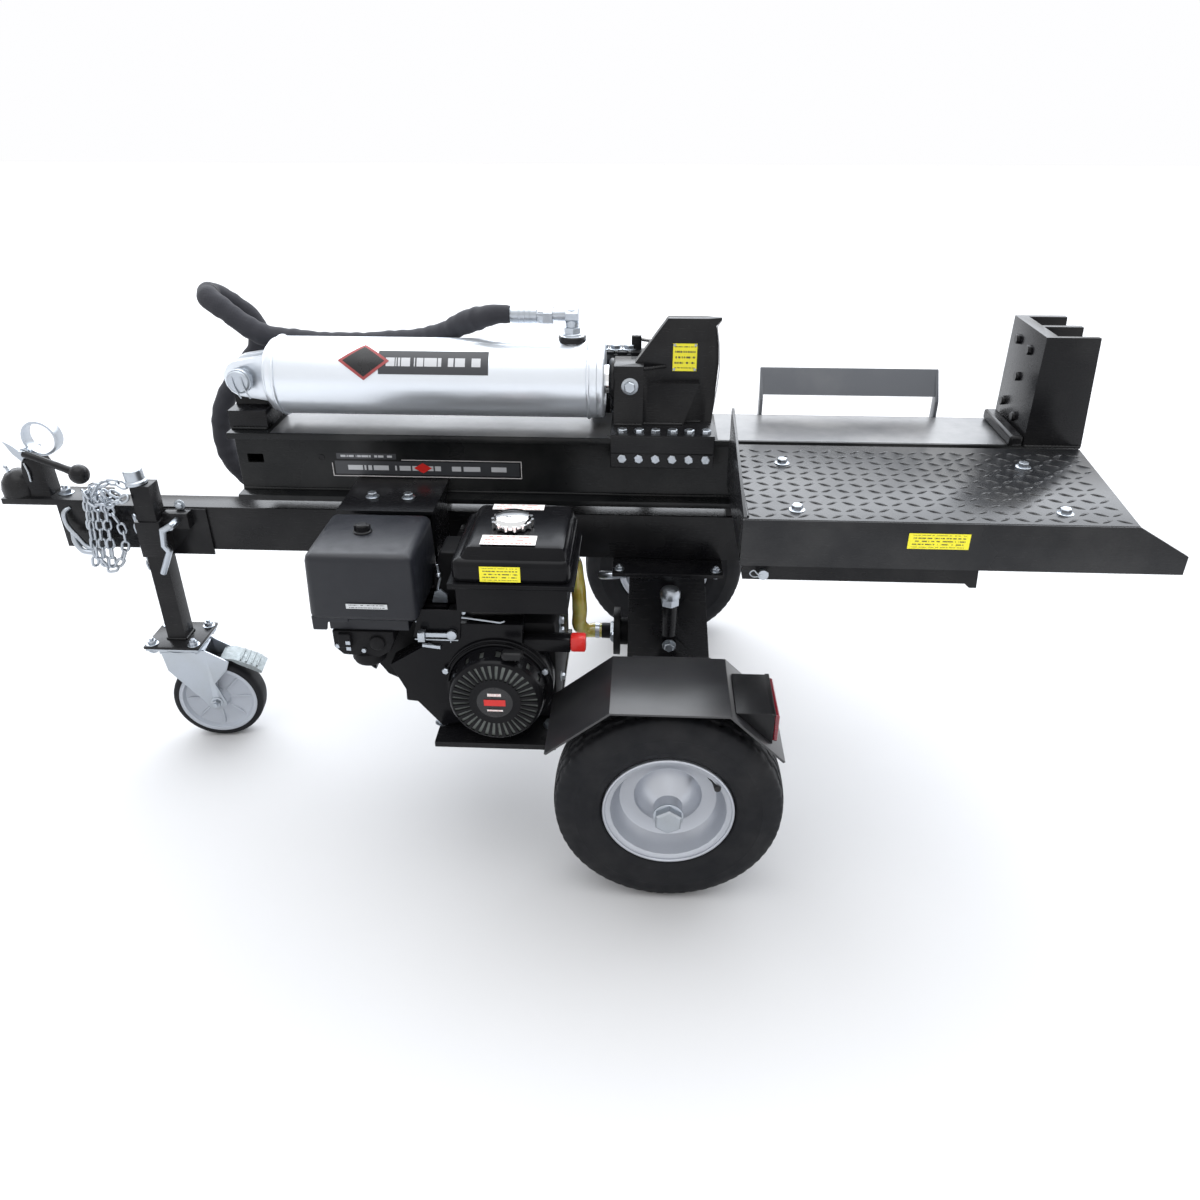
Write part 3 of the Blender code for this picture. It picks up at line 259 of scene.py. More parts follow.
def plastic(name, colour, roughness, grain=520.0, strength=0.18, gloss=0.4, dust=0.04):
    """Moulded plastic with a spark-eroded grain."""
    made = Shader(name, colour, roughness)
    made.vary("Base Color", made.mix(made.spread(made.noise(7.0, 4.0), 0.0, dust), colour,
        (0.30, 0.30, 0.30)))
    made.vary("Roughness", made.spread(made.noise(60.0), roughness - 0.06, roughness + 0.08))
    made.surface.inputs["Specular IOR Level"].default_value = gloss
    made.bump(made.noise(grain, 1.0), strength, 0.0005)
    return made.material


def woven(name, colour):
    """Nylon hose sleeve: a flat weave laid on the tube's own UVs, which are in metres."""
    made = Shader(name, colour, 0.86)
    uv = made.tree.nodes.new("ShaderNodeUVMap").outputs["UV"]
    split = made.tree.nodes.new("ShaderNodeSeparateXYZ")
    made.link(uv, split.inputs["Vector"])
    pitch = tau / 0.0042
    warp = made.math("SINE", made.math("MULTIPLY", split.outputs["X"], pitch))
    weft = made.math("SINE", made.math("MULTIPLY", split.outputs["Y"], pitch))
    cloth = made.math("MULTIPLY_ADD", made.math("MULTIPLY", warp, weft), 0.5)
    thread = made.spread(cloth, 0.0, 1.0, -0.5, 0.5)
    made.vary("Base Color", made.mix(made.spread(thread, 0.0, 0.30, 0.0, 1.0), colour, (0.09, 0.09, 0.105)))
    made.bump(thread, 0.5, 0.0012)
    made.bump(made.noise(38.0, 3.0), 0.5, 0.006)
    made.surface.inputs["Sheen Weight"].default_value = 0.06
    made.surface.inputs["Specular IOR Level"].default_value = 0.2
    return made.material


def clear_hose(name):
    made = Shader(name, (0.50, 0.40, 0.07), 0.18)
    film = made.spread(made.noise(30.0, 3.0), 0.0, 1.0, 0.35, 0.7)
    made.vary("Base Color", made.mix(film, (0.46, 0.36, 0.05), (0.70, 0.62, 0.20)))
    made.surface.inputs["Subsurface Weight"].default_value = 0.35
    made.surface.inputs["Subsurface Scale"].default_value = 0.006
    made.surface.inputs["Transmission Weight"].default_value = 0.25
    made.surface.inputs["Coat Weight"].default_value = 0.6
    made.bump(made.noise(90.0, 2.0), 0.15, 0.001)
    return made.material


def lens(name, colour):
    """Ribbed lamp plastic."""
    made = Shader(name, colour, 0.16)
    ribs = made.tree.nodes.new("ShaderNodeTexWave")
    ribs.bands_direction = "Z"
    ribs.inputs["Scale"].default_value = 70.0
    made.link(made.place, ribs.inputs["Vector"])
    made.bump(ribs.outputs["Fac"], 0.5, 0.0012)
    made.surface.inputs["Transmission Weight"].default_value = 0.15
    made.surface.inputs["Coat Weight"].default_value = 0.8
    made.vary("Base Color", made.mix(made.spread(made.noise(40.0), 0.0, 0.4), colour,
        tuple(c * 0.5 for c in colour)))
    return made.material


def printed(name, colour, ink, strokes, wide):
    """Sticker film with rows of plain dashes in place of any lettering."""
    made = Shader(name, colour, 0.38)
    split = made.tree.nodes.new("ShaderNodeSeparateXYZ")
    made.link(made.tree.nodes.new("ShaderNodeUVMap").outputs["UV"], split.inputs["Vector"])
    row = made.math("FRACT", made.math("MULTIPLY", split.outputs["Y"], float(strokes)))
    in_row = made.math("MULTIPLY", made.math("GREATER_THAN", row, 0.32), made.math("LESS_THAN", row, 0.68))
    number = made.math("FLOOR", made.math("MULTIPLY", split.outputs["Y"], float(strokes)))
    dash = made.tree.nodes.new("ShaderNodeTexNoise")
    dash.noise_dimensions = "2D"
    dash.inputs["Scale"].default_value = 1.0
    spot = made.tree.nodes.new("ShaderNodeCombineXYZ")
    made.link(made.math("MULTIPLY", split.outputs["X"], float(wide)), spot.inputs["X"])
    made.link(made.math("MULTIPLY", number, 7.3), spot.inputs["Y"])
    made.link(spot.outputs["Vector"], dash.inputs["Vector"])
    marks = made.math("MULTIPLY", in_row, made.math("GREATER_THAN", dash.outputs["Fac"], 0.46))
    inner = None
    for axis in ("X", "Y"):
        away = made.math("ABSOLUTE", made.math("SUBTRACT", split.outputs[axis], 0.5))
        within = made.math("LESS_THAN", away, 0.43 if axis == "X" else 0.40)
        inner = within if inner is None else made.math("MULTIPLY", inner, within)
    worn = made.mix(made.spread(made.noise(34.0), 0.0, 0.16), colour, tuple(c * 0.6 for c in colour))
    made.vary("Base Color", made.mix(made.math("MULTIPLY", marks, inner), worn, ink))
    made.bump(made.noise(200.0), 0.05, 0.0004)
    return made.material


def keep(material):
    """Return a finish as it is."""
    return material


BLACK = keep(paint("black_enamel", (0.0055, 0.0055, 0.0065), 0.26, dust=0.03))
FENDER_BLACK = keep(paint("mudguard_enamel", (0.010, 0.010, 0.012), 0.34, dust=0.04,
    gloss=0.75))
# The log guard's black enamel has its base colour lifted to a blue-grey as painted sky sheen; only its dust
# film is real dirt.
GUARD_BLACK_PAINTED_SHEEN = keep(paint("log_guard_enamel_painted_sheen", (0.085, 0.092, 0.105), 0.36, dust=0.10,
    gloss=0.6))
BEAM_BLACK = keep(paint("beam_enamel", (0.006, 0.0065, 0.007), 0.28, dust=0.04))
TREAD_PLATE = keep(paint("table_enamel", (0.010, 0.0105, 0.012), 0.27, dust=0.05,
    gloss=0.29))
ENGINE = keep(paint("engine_enamel", (0.0045, 0.0045, 0.0055), 0.22, dust=0.01, gloss=0.12))
CAST = keep(paint("cast_black", (0.006, 0.006, 0.007), 0.50, dust=0.02, peel=0.5, gloss=0.12))
SILVER = keep(paint("silver_enamel", (0.75, 0.79, 0.84), 0.33, dust=0.05, metallic=0.75,
    gloss=0.5))
RIM_SILVER = keep(paint("rim_enamel", (0.48, 0.50, 0.54), 0.34, dust=0.05, metallic=0.8,
    gloss=0.5))
STEEL = keep(metal("turned_steel", (0.62, 0.62, 0.62), 0.26, (1.0, 12.0, 12.0)))
CHROME = keep(metal("bright_chrome", (0.80, 0.80, 0.80), 0.10))
ZINC = keep(metal("zinc_plating", (0.45, 0.485, 0.53), 0.34, None, (0.36, 0.37, 0.35), 240.0))
PEDAL_ZINC = keep(metal("dull_zinc", (0.30, 0.33, 0.34), 0.62, None, (0.24, 0.25, 0.24), 200.0))
# Beam top finish: rubbed wear and dust, with its base colour lifted well above the beam's black as painted
# sky sheen on the top face.
WORN_AND_SHEEN_TOP = keep(paint("rubbed_and_sheen_beam_top", (0.034, 0.035, 0.038), 0.30, dust=0.25, gloss=0.78))
TYRE = keep(rubber("tyre_rubber", (0.0075, 0.008, 0.010), 0.62, dust=0.02))
HOSE = keep(rubber("hose_rubber", (0.014, 0.014, 0.015), 0.50, dust=0.05))
CASTOR_GREY = keep(plastic("castor_core", (0.42, 0.45, 0.50), 0.42))
SLEEVE = keep(woven("hose_sleeve_cloth", (0.010, 0.0105, 0.013)))
COVER = keep(plastic("air_cleaner_plastic", (0.009, 0.010, 0.014), 0.40, gloss=0.36,
    dust=0.01))
KNOB = keep(plastic("knob_plastic", (0.008, 0.008, 0.009), 0.35, gloss=0.2, dust=0.02))
RED = keep(plastic("red_switch_plastic", (0.60, 0.016, 0.012), 0.32))
LENS = keep(lens("red_lens", (0.22, 0.006, 0.018)))
AMBER = keep(clear_hose("amber_tube"))
STARTER_GREY = keep(metal("starter_grey", (0.16, 0.17, 0.16), 0.5))
DARK_LABEL = keep(plastic("label_black", (0.006, 0.006, 0.007), 0.28, 300.0, 0.05))
PANEL_WHITE = keep(plastic("panel_white", (0.62, 0.60, 0.60), 0.4))
PANEL_RED = keep(plastic("panel_red", (0.30, 0.05, 0.05), 0.35))
YELLOW = keep(printed("yellow_sticker", (0.86, 0.78, 0.02), (0.06, 0.05, 0.02), 5, 26))
WHITE = keep(printed("white_sticker", (0.80, 0.76, 0.74), (0.55, 0.12, 0.10), 3, 22))
GREY_STRIP = keep(printed("grey_strip", (0.55, 0.57, 0.58), (0.10, 0.10, 0.11), 2, 40))
DARK_STRIP = keep(printed("dark_strip", (0.035, 0.037, 0.042), (0.50, 0.51, 0.53), 1,
    14))



# ---------------------------------------------------------------- mesh building
def facing(at, axis):
    """A frame at a point whose Z runs along an axis."""
    return Matrix.Translation(Vector(at)) @ Vector(axis).to_track_quat("Z", "Y").to_matrix().to_4x4()


def arc(centre, radius, start, end, steps):
    angles = [radians(start + (end - start) * number / steps) for number in range(steps + 1)]
    return [(centre[0] + radius * cos(angle), centre[1] + radius * sin(angle)) for angle in angles]


def smooth_route(knots, spacing):
    """Points along a centripetal Catmull-Rom curve through the knots, about spacing apart."""
    stops = [Vector(knot) for knot in knots]
    ends = [2 * stops[0] - stops[1]] + stops + [2 * stops[-1] - stops[-2]]
    route = [stops[0]]
    for before, here, there, after in zip(ends, ends[1:], ends[2:], ends[3:]):
        spans = [sqrt((b - a).length) for a, b in ((before, here), (here, there), (there, after))]
        slope_in = ((here - before) / spans[0] - (there - before) / (spans[0] + spans[1])
                    + (there - here) / spans[1]) * spans[1]
        slope_out = ((there - here) / spans[1] - (after - here) / (spans[1] + spans[2])
                     + (after - there) / spans[2]) * spans[1]
        pieces = max(1, round((there - here).length / spacing))
        for number in range(1, pieces + 1):
            t = number / pieces
            route.append(here * (2 * t ** 3 - 3 * t ** 2 + 1) + slope_in * (t ** 3 - 2 * t ** 2 + t)
                         + there * (3 * t ** 2 - 2 * t ** 3) + slope_out * (t ** 3 - t ** 2))
    return route


FILM = 0.0006        # thickness of a printed film


class Piece:
    """One named piece of the visual model; shapes are added to it in the axle frame."""

    def __init__(self, name, body, finish, bevel=0.0, smooth=35, replaces=(), blend=None):
        self.name, self.body, self.finish = name, body, finish
        self.bevel, self.smooth, self.replaced, self.blended = bevel, smooth, replaces, blend
        self.bm = bmesh.new()
        self.uv = self.bm.loops.layers.uv.new("UVMap")

    def __enter__(self):
        return self

    def __exit__(self, kind, *_):
        if kind is not None:
            return
        bmesh.ops.recalc_face_normals(self.bm, faces=self.bm.faces)
        bmesh.ops.translate(self.bm, verts=self.bm.verts, vec=SHIFT)
        mesh = bpy.data.meshes.new(self.name)
        self.bm.to_mesh(mesh)
        self.bm.free()
        mesh.materials.append(self.finish)
        mesh.shade_smooth()
        mesh.set_sharp_from_angle(angle=radians(self.smooth))
        made = bpy.data.objects.new(self.name, mesh)
        bpy.context.scene.collection.objects.link(made)
        if self.bevel:
            soften(made, self.bevel)
        if self.replaced:
            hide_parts(*self.replaced)
        if self.blended:
            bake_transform(made)
        else:
            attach(made, self.body)

    def grid(self, rows, closed_rows=False, closed_columns=False):
        """Faces between rows of points; returns the rows of vertices."""
        made = [[self.bm.verts.new(point) for point in row] for row in rows]
        down = len(made) if closed_rows else len(made) - 1
        for i in range(down):
            here, there = made[i], made[(i + 1) % len(made)]
            across = len(here) if closed_columns else len(here) - 1
            for j in range(across):
                k = (j + 1) % len(here)
                face = self.bm.faces.new((here[j], here[k], there[k], there[j]))
                for loop, corner in zip(face.loops, ((i, j), (i, j + 1), (i + 1, j + 1), (i + 1, j))):
                    loop[self.uv].uv = (corner[1] / max(1, across), corner[0] / max(1, down))
        return made

    def prism(self, outline, axis, start, end):
        """A flat outline pushed along one axis.  X takes (y, z) points, Y takes (x, z), Z takes (x, y)."""
        def point(pair, along):
            first, second = pair
            return {"X": (along, first, second), "Y": (first, along, second),
                "Z": (first, second, along)}[axis]
        near = [self.bm.verts.new(point(pair, start)) for pair in outline]
        far = [self.bm.verts.new(point(pair, end)) for pair in outline]
        self.bm.faces.new(near)
        self.bm.faces.new(far)
        for a, b, c, d in zip(near, near[1:] + near[:1], far[1:] + far[:1], far):
            self.bm.faces.new((a, b, c, d))

    def box(self, low, high):
        self.prism([(low[0], low[1]), (high[0], low[1]), (high[0], high[1]), (low[0], high[1])], "Z",
            low[2], high[2])

    def turned(self, at, axis, profile, steps=32, closed=False, start=0.0):
        """Spin (radius, height) points about an axis through a point."""
        spot = facing(at, axis)
        rows = []
        for number in range(steps):
            angle = start + tau * number / steps
            rows.append([spot @ Vector((max(radius, 1e-5) * cos(angle), max(radius, 1e-5) * sin(angle),
                height)) for radius, height in profile])
        self.grid(rows, True, closed)
        bmesh.ops.remove_doubles(self.bm, verts=self.bm.verts, dist=0.00003)

    def tube(self, points, radius, sides=12, closed=False, taper=None):
        """Round bar along points, with UVs in metres round and along it."""
        points = [Vector(point) for point in points]
        count = len(points)
        up = Vector((0.13, 0.31, 0.94)).normalized()
        rows, along, walked = [], [], 0.0
        side = None
        for number, point in enumerate(points):
            before = points[(number - 1) % count] if closed else points[max(0, number - 1)]
            after = points[(number + 1) % count] if closed else points[min(count - 1, number + 1)]
            heading = (after - before).normalized()
            side = heading.cross(up if side is None else side.cross(heading)).normalized()
            other = heading.cross(side).normalized()
            size = radius * (taper(number / max(1, count - 1)) if taper else 1.0)
            rows.append([point + (side * cos(tau * step / sides) + other * sin(tau * step / sides)) * size
                         for step in range(sides)])
            if number:
                walked += (point - points[number - 1]).length
            along.append(walked)
        made = [[self.bm.verts.new(point) for point in row] for row in rows]
        turns = count if closed else count - 1
        for i in range(turns):
            here, there = made[i], made[(i + 1) % count]
            far_along = along[i + 1] if i + 1 < count else walked
            for j in range(sides):
                k = (j + 1) % sides
                face = self.bm.faces.new((here[j], here[k], there[k], there[j]))
                round_pitch = tau * radius / sides
                uvs = ((j * round_pitch, along[i]), ((j + 1) * round_pitch, along[i]),
                    ((j + 1) * round_pitch, far_along), (j * round_pitch, far_along))
                for loop, spot in zip(face.loops, uvs):
                    loop[self.uv].uv = spot
        if not closed:
            self.bm.faces.new(made[0])
            self.bm.faces.new(made[-1])

    def bolt(self, at, axis, flats=0.013, head=0.0055, washer=True, nut=False, shank=0.0):
        """Hex head with a chamfered crown, a washer under it, and the domed end of a stud on a nut."""
        spot = facing(at, axis)
        base = 0.0
        if washer:
            self.turned(at, axis, [(0, 0), (flats * 0.82, 0), (flats * 0.82, 0.0012),
                (flats * 0.78, 0.0016), (0, 0.0016)], 20)
            base = 0.0014
        turn = DICE.uniform(0, pi / 3)
        corner = flats / sqrt(3)
        rings = []
        for size, height in ((1.0, base), (1.0, base + head * 0.82), (0.86, base + head)):
            rings.append([spot @ Vector((corner * size * cos(turn + pi / 3 * n),
                corner * size * sin(turn + pi / 3 * n), height)) for n in range(6)])
        made = self.grid(rings, False, True)
        self.bm.faces.new(made[-1])
        if nut or shank:
            reach = base + head + (shank or 0.004)
            self.turned(at, axis, [(0, base), (flats * 0.30, base), (flats * 0.30, reach - 0.001),
                (flats * 0.24, reach), (0, reach)], 12)

    def ball(self, at, radius, rings=10, sides=18):
        profile = [(radius * sin(pi * n / rings), -radius * cos(pi * n / rings)) for n in range(rings + 1)]
        self.turned(at, UP, profile, sides)

    def sticker(self, corners):
        """A thin printed film; corners run round its face from the lower left."""
        a, b, c, d = (Vector(corner) for corner in corners)
        lift = (b - a).cross(d - a).normalized() * FILM
        self.grid([[a + lift, b + lift], [d + lift, c + lift]])

    def label(self, x0, x1, y, z0, z1):
        """A film on an upright face that looks to the near side."""
        self.sticker([(x0, y, z0), (x1, y, z0), (x1, y, z1), (x0, y, z1)])

    def disc(self, at, axis, radius, thick, steps):
        self.turned(at, axis, [(0, 0), (radius, 0), (radius, thick), (0, thick)], steps)

    def collar(self, at, axis, inner, outer, low, high, steps):
        self.turned(at, axis, [(inner, low), (outer, low), (outer, high), (inner, high)], steps, True)


def soften(obj, width, segments=2):
    step = obj.modifiers.new("Bevel", "BEVEL")
    step.width = width
    step.segments = segments
    step.limit_method = "ANGLE"
    step.angle_limit = radians(38)
    return step


def mesh_step(name):
    """An empty geometry-nodes group with one mesh going in and one coming out."""
    tree = bpy.data.node_groups.new(name, "GeometryNodeTree")
    for way in ("INPUT", "OUTPUT"):
        tree.interface.new_socket("Geometry", in_out=way, socket_type="NodeSocketGeometry")
    return tree, tree.nodes.new("NodeGroupInput"), tree.nodes.new("NodeGroupOutput")


def welding():
    """Geometry nodes that join a CAD mesh's loose faces at their shared corners and drop its flat normals."""
    tree, start, end = mesh_step("join_faces")
    join = tree.nodes.new("GeometryNodeMergeByDistance")
    join.inputs["Distance"].default_value = 0.00001
    forget = tree.nodes.new("GeometryNodeRemoveAttribute")
    forget.inputs["Name"].default_value = "custom_normal"
    tree.links.new(start.outputs[0], join.inputs["Geometry"])
    tree.links.new(join.outputs[0], forget.inputs["Geometry"])
    tree.links.new(forget.outputs[0], end.inputs[0])
    return tree


def smoothing(limit):
    """Geometry nodes that shade a mesh smooth except across edges sharper than the limit."""
    tree, start, end = mesh_step("smooth_by_angle")
    faces, edges = (tree.nodes.new("GeometryNodeSetShadeSmooth") for _ in range(2))
    faces.domain, edges.domain = "FACE", "EDGE"
    faces.inputs["Shade Smooth"].default_value = True
    edges.inputs["Shade Smooth"].default_value = False
    sharp = tree.nodes.new("FunctionNodeCompare")
    sharp.data_type, sharp.operation = "FLOAT", "GREATER_THAN"
    sharp.inputs[1].default_value = radians(limit)
    tree.links.new(tree.nodes.new("GeometryNodeInputMeshEdgeAngle").outputs["Unsigned Angle"],
        sharp.inputs[0])
    tree.links.new(start.outputs[0], faces.inputs["Geometry"])
    tree.links.new(faces.outputs[0], edges.inputs["Geometry"])
    tree.links.new(sharp.outputs["Result"], edges.inputs["Selection"])
    tree.links.new(edges.outputs[0], end.inputs[0])
    return tree


WELDING = welding()
SMOOTHING = smoothing(31)


def dress(node, finish, bevel=0.0):
    """Give a CAD node its real finish, with its edges broken as a welder or a mould would leave them."""
    made = NODES[node]
    made.data.materials.clear()
    made.data.materials.append(finish)
    made.modifiers.new("Join", "NODES").node_group = WELDING
    if bevel:
        soften(made, bevel)
    made.modifiers.new("Smooth", "NODES").node_group = SMOOTHING


# finish, how far its edges are broken, and the CAD nodes that have it
DRESSED = (
    (BEAM_BLACK, 0.0014, "beam"),
    (BLACK, 0.0010, "heat_guard table_rail"),
    (BLACK, 0.0012, "drawbar axle oil_tank engine_cradle jockey_clamp coupler_body"),
    (BLACK, 0.0014, "foot_plate clevis_bracket control_valve wedge"),
    (BLACK, 0.0015, "jockey_leg"),
    (CAST, 0.0, "crankcase muffler gear_pump"),
    (CAST, 0.0006, "suction_flange"),
    (CAST, 0.001, "bell_housing"),
    (CAST, 0.004, "carburettor"),
    (CAST, 0.006, "cylinder_head"),
    (CHROME, 0.0, "piston_rod"),
    (CHROME, 0.0008, "fuel_cap"),
    (COVER, 0.0, "air_cleaner_cover"),
    (COVER, 0.003, "air_cleaner_base"),
    (ENGINE, 0.0, "fan_shroud fuel_tank"),
    (FENDER_BLACK, 0.0008, "fender_near fender_far"),
    # the log guard's finish carries painted sky sheen in its lifted base colour
    (GUARD_BLACK_PAINTED_SHEEN, 0.0010, "log_guard"),
    (KNOB, 0.003, "recoil_grip tail_lamp_near tail_lamp_far"),
    (PEDAL_ZINC, 0.0012, "castor_brake"),
    (RED, 0.0, "engine_switch"),
    (RIM_SILVER, 0.0008, "rim_near rim_far"),
    (SILVER, 0.0010, "cylinder_barrel cylinder_gland"),
    (STEEL, 0.0004, "valve_lever"),
    (TREAD_PLATE, 0.0010, "log_table"),
    (ZINC, 0.0004, "table_pin"),
    (ZINC, 0.0005, "rod_port_elbow throttle_lever"),
    (ZINC, 0.0006, "breather_cap"),
    (ZINC, 0.0008, "coupler_latch castor_plate castor_fork clamp_handle"),
    (ZINC, 0.0010, "clevis_pin"),
)


def dress_nodes():
    for finish, bevel, nodes in DRESSED:
        for node in nodes.split():
            dress(node, finish, bevel)


# ---------------------------------------------------------------- hoses
def hoses():
    rod_hose = [(-0.3153, 0.000, 0.958), (-0.340, 0.000, 0.958), (-0.375, 0.018, 0.947),
        (-0.418, 0.044, 0.928), (-0.460, 0.068, 0.904), (-0.510, 0.083, 0.888), (-0.600, 0.092, 0.878),
        (-0.705, 0.092, 0.877), (-0.778, 0.092, 0.882), (-0.828, 0.088, 0.892), (-0.866, 0.090, 0.912),
        (-0.902, 0.096, 0.938), (-0.940, 0.116, 0.958), (-0.951, 0.152, 0.960), (-0.930, 0.188, 0.934),
        (-0.893, 0.202, 0.895), (-0.885, 0.190, 0.845), (-0.920, 0.165, 0.795), (-0.960, 0.148, 0.740),
        (-0.978, 0.138, 0.675), (-0.966, 0.132, 0.610), (-0.925, 0.129, 0.560), (-0.855, 0.127, 0.535),
        (-0.740, 0.126, 0.530), (-0.560, 0.126, 0.545), (-0.380, 0.128, 0.560), (-0.230, 0.131, 0.600),
        (-0.150, 0.133, 0.670), (-0.130, 0.133, 0.740), (-0.130, 0.133, 0.7897)]

    def gathers(t):
        """The sleeve is loose: it puckers along its run and is bound down at its two ends."""
        waves = ((0.030, 61, 0.0), (0.026, 143, 1.0), (0.026, 420, 0.0), (0.012, 611, 0.0))
        pucker = sum(size * sin(turns * t + start) for size, turns, start in waves)
        bound = min(1.0, 0.70 + 9.0 * min(t, 1.0 - t))
        return bound * (0.93 + pucker)

    with Piece("rod_hose_sleeve", "beam_group", SLEEVE, replaces=("rod_hose",), smooth=80) as made:
        made.tube(smooth_route(rod_hose, 0.005), 0.023, 28, taper=gathers)
    with Piece("sleeve_ties", "beam_group", KNOB) as made:
        route = smooth_route(rod_hose, 0.02)
        for place in (2, len(route) // 3, len(route) * 2 // 3, len(route) - 3):
            made.tube([route[place], route[place] + (route[place + 1] - route[place]) * 0.35],
                0.0235 * min(1.0, 0.80 + 0.02 * place) * (0.93 if place > 3 else 0.9), 24)
    base = [(-0.715, 0.0863, CYLINDER_Z), (-0.715, 0.108, CYLINDER_Z), (-0.702, 0.128, CYLINDER_Z),
        (-0.670, 0.136, 0.836), (-0.450, 0.136, 0.832), (-0.300, 0.135, 0.828), (-0.195, 0.133, 0.826),
        (-0.1703, 0.133, 0.826)]
    back = [(-0.075, 0.133, 0.7757), (-0.075, 0.133, 0.745), (-0.070, 0.145, 0.690), (-0.050, 0.175, 0.610),
        (-0.020, 0.228, 0.520), (0.000, 0.248, 0.430), (0.000, 0.220, 0.400), (0.000, 0.1903, 0.400)]
    feed = [(-0.313, 0.0763, 0.440), (-0.313, 0.100, 0.440), (-0.300, 0.165, 0.455), (-0.262, 0.192, 0.520),
        (-0.205, 0.200, 0.620), (-0.140, 0.204, 0.720), (-0.106, 0.203, 0.790), (-0.103, 0.183, 0.823),
        (-0.103, 0.1593, 0.823)]
    with Piece("base_hose_rubber", "beam_group", HOSE, replaces=("base_hose",), smooth=80) as made:
        made.tube(smooth_route(base, 0.010), 0.011, 16)
    with Piece("return_hose_rubber", "chassis", HOSE, replaces=("return_hose",), smooth=80,
            blend=("beam_group", "chassis", Vector(back[0]) + SHIFT, Vector(back[-1]) + SHIFT)) as made:
        made.tube(smooth_route(back, 0.008), 0.013, 16)
    with Piece("pressure_hose_rubber", "chassis", HOSE, replaces=("pressure_hose",), smooth=80,
            blend=("chassis", "beam_group", Vector(feed[0]) + SHIFT, Vector(feed[-1]) + SHIFT)) as made:
        made.tube(smooth_route(feed, 0.008), 0.0105, 16)
    with Piece("hose_fittings", "beam_group", ZINC, 0.0004) as made:
        made.tube([base[0], base[1]], 0.0145, 6)
        made.tube([(-0.196, 0.133, 0.826), (-0.1705, 0.133, 0.826)], 0.0145, 6)
        made.tube([(-0.130, 0.133, 0.762), (-0.130, 0.133, 0.7898)], 0.019, 6)
    start = -0.1406
    suction = [(start, -0.035, 0.290), (start - 0.018, -0.035, 0.290), (start - 0.036, -0.039, 0.292),
        (start - 0.048, -0.046, 0.310), (start - 0.047, -0.050, 0.345), (start - 0.048, -0.050, 0.383),
        (start - 0.051, -0.047, 0.412), (start - 0.055, -0.032, 0.431), (start - 0.060, -0.008, 0.440),
        (start - 0.068, 0.016, 0.435), (start - 0.082, 0.034, 0.422), (start - 0.099, 0.040, 0.415),
        (-0.2570, 0.040, 0.415)]
    with Piece("suction_tube", "chassis", AMBER, replaces=("suction_hose",), smooth=80) as made:
        made.tube(smooth_route(suction, 0.004), 0.0158, 24, taper=lambda t: 1.0 + 0.02 * sin(40 * t))


# ---------------------------------------------------------------- frame, hitch and jockey wheel
def weld(made, start, end, size=0.0035, lumps=0.0065):
    """A hand-laid weld bead: overlapping ripples along a joint."""
    a, b = Vector(start), Vector(end)
    count = max(2, ceil((b - a).length / lumps))
    points = [a.lerp(b, n / (count * 3)) for n in range(count * 3 + 1)]
    made.tube(points, size, 8, taper=lambda t: 0.86 + 0.16 * abs(sin(pi * t * count)) + 0.05 * sin(t * 57.0))


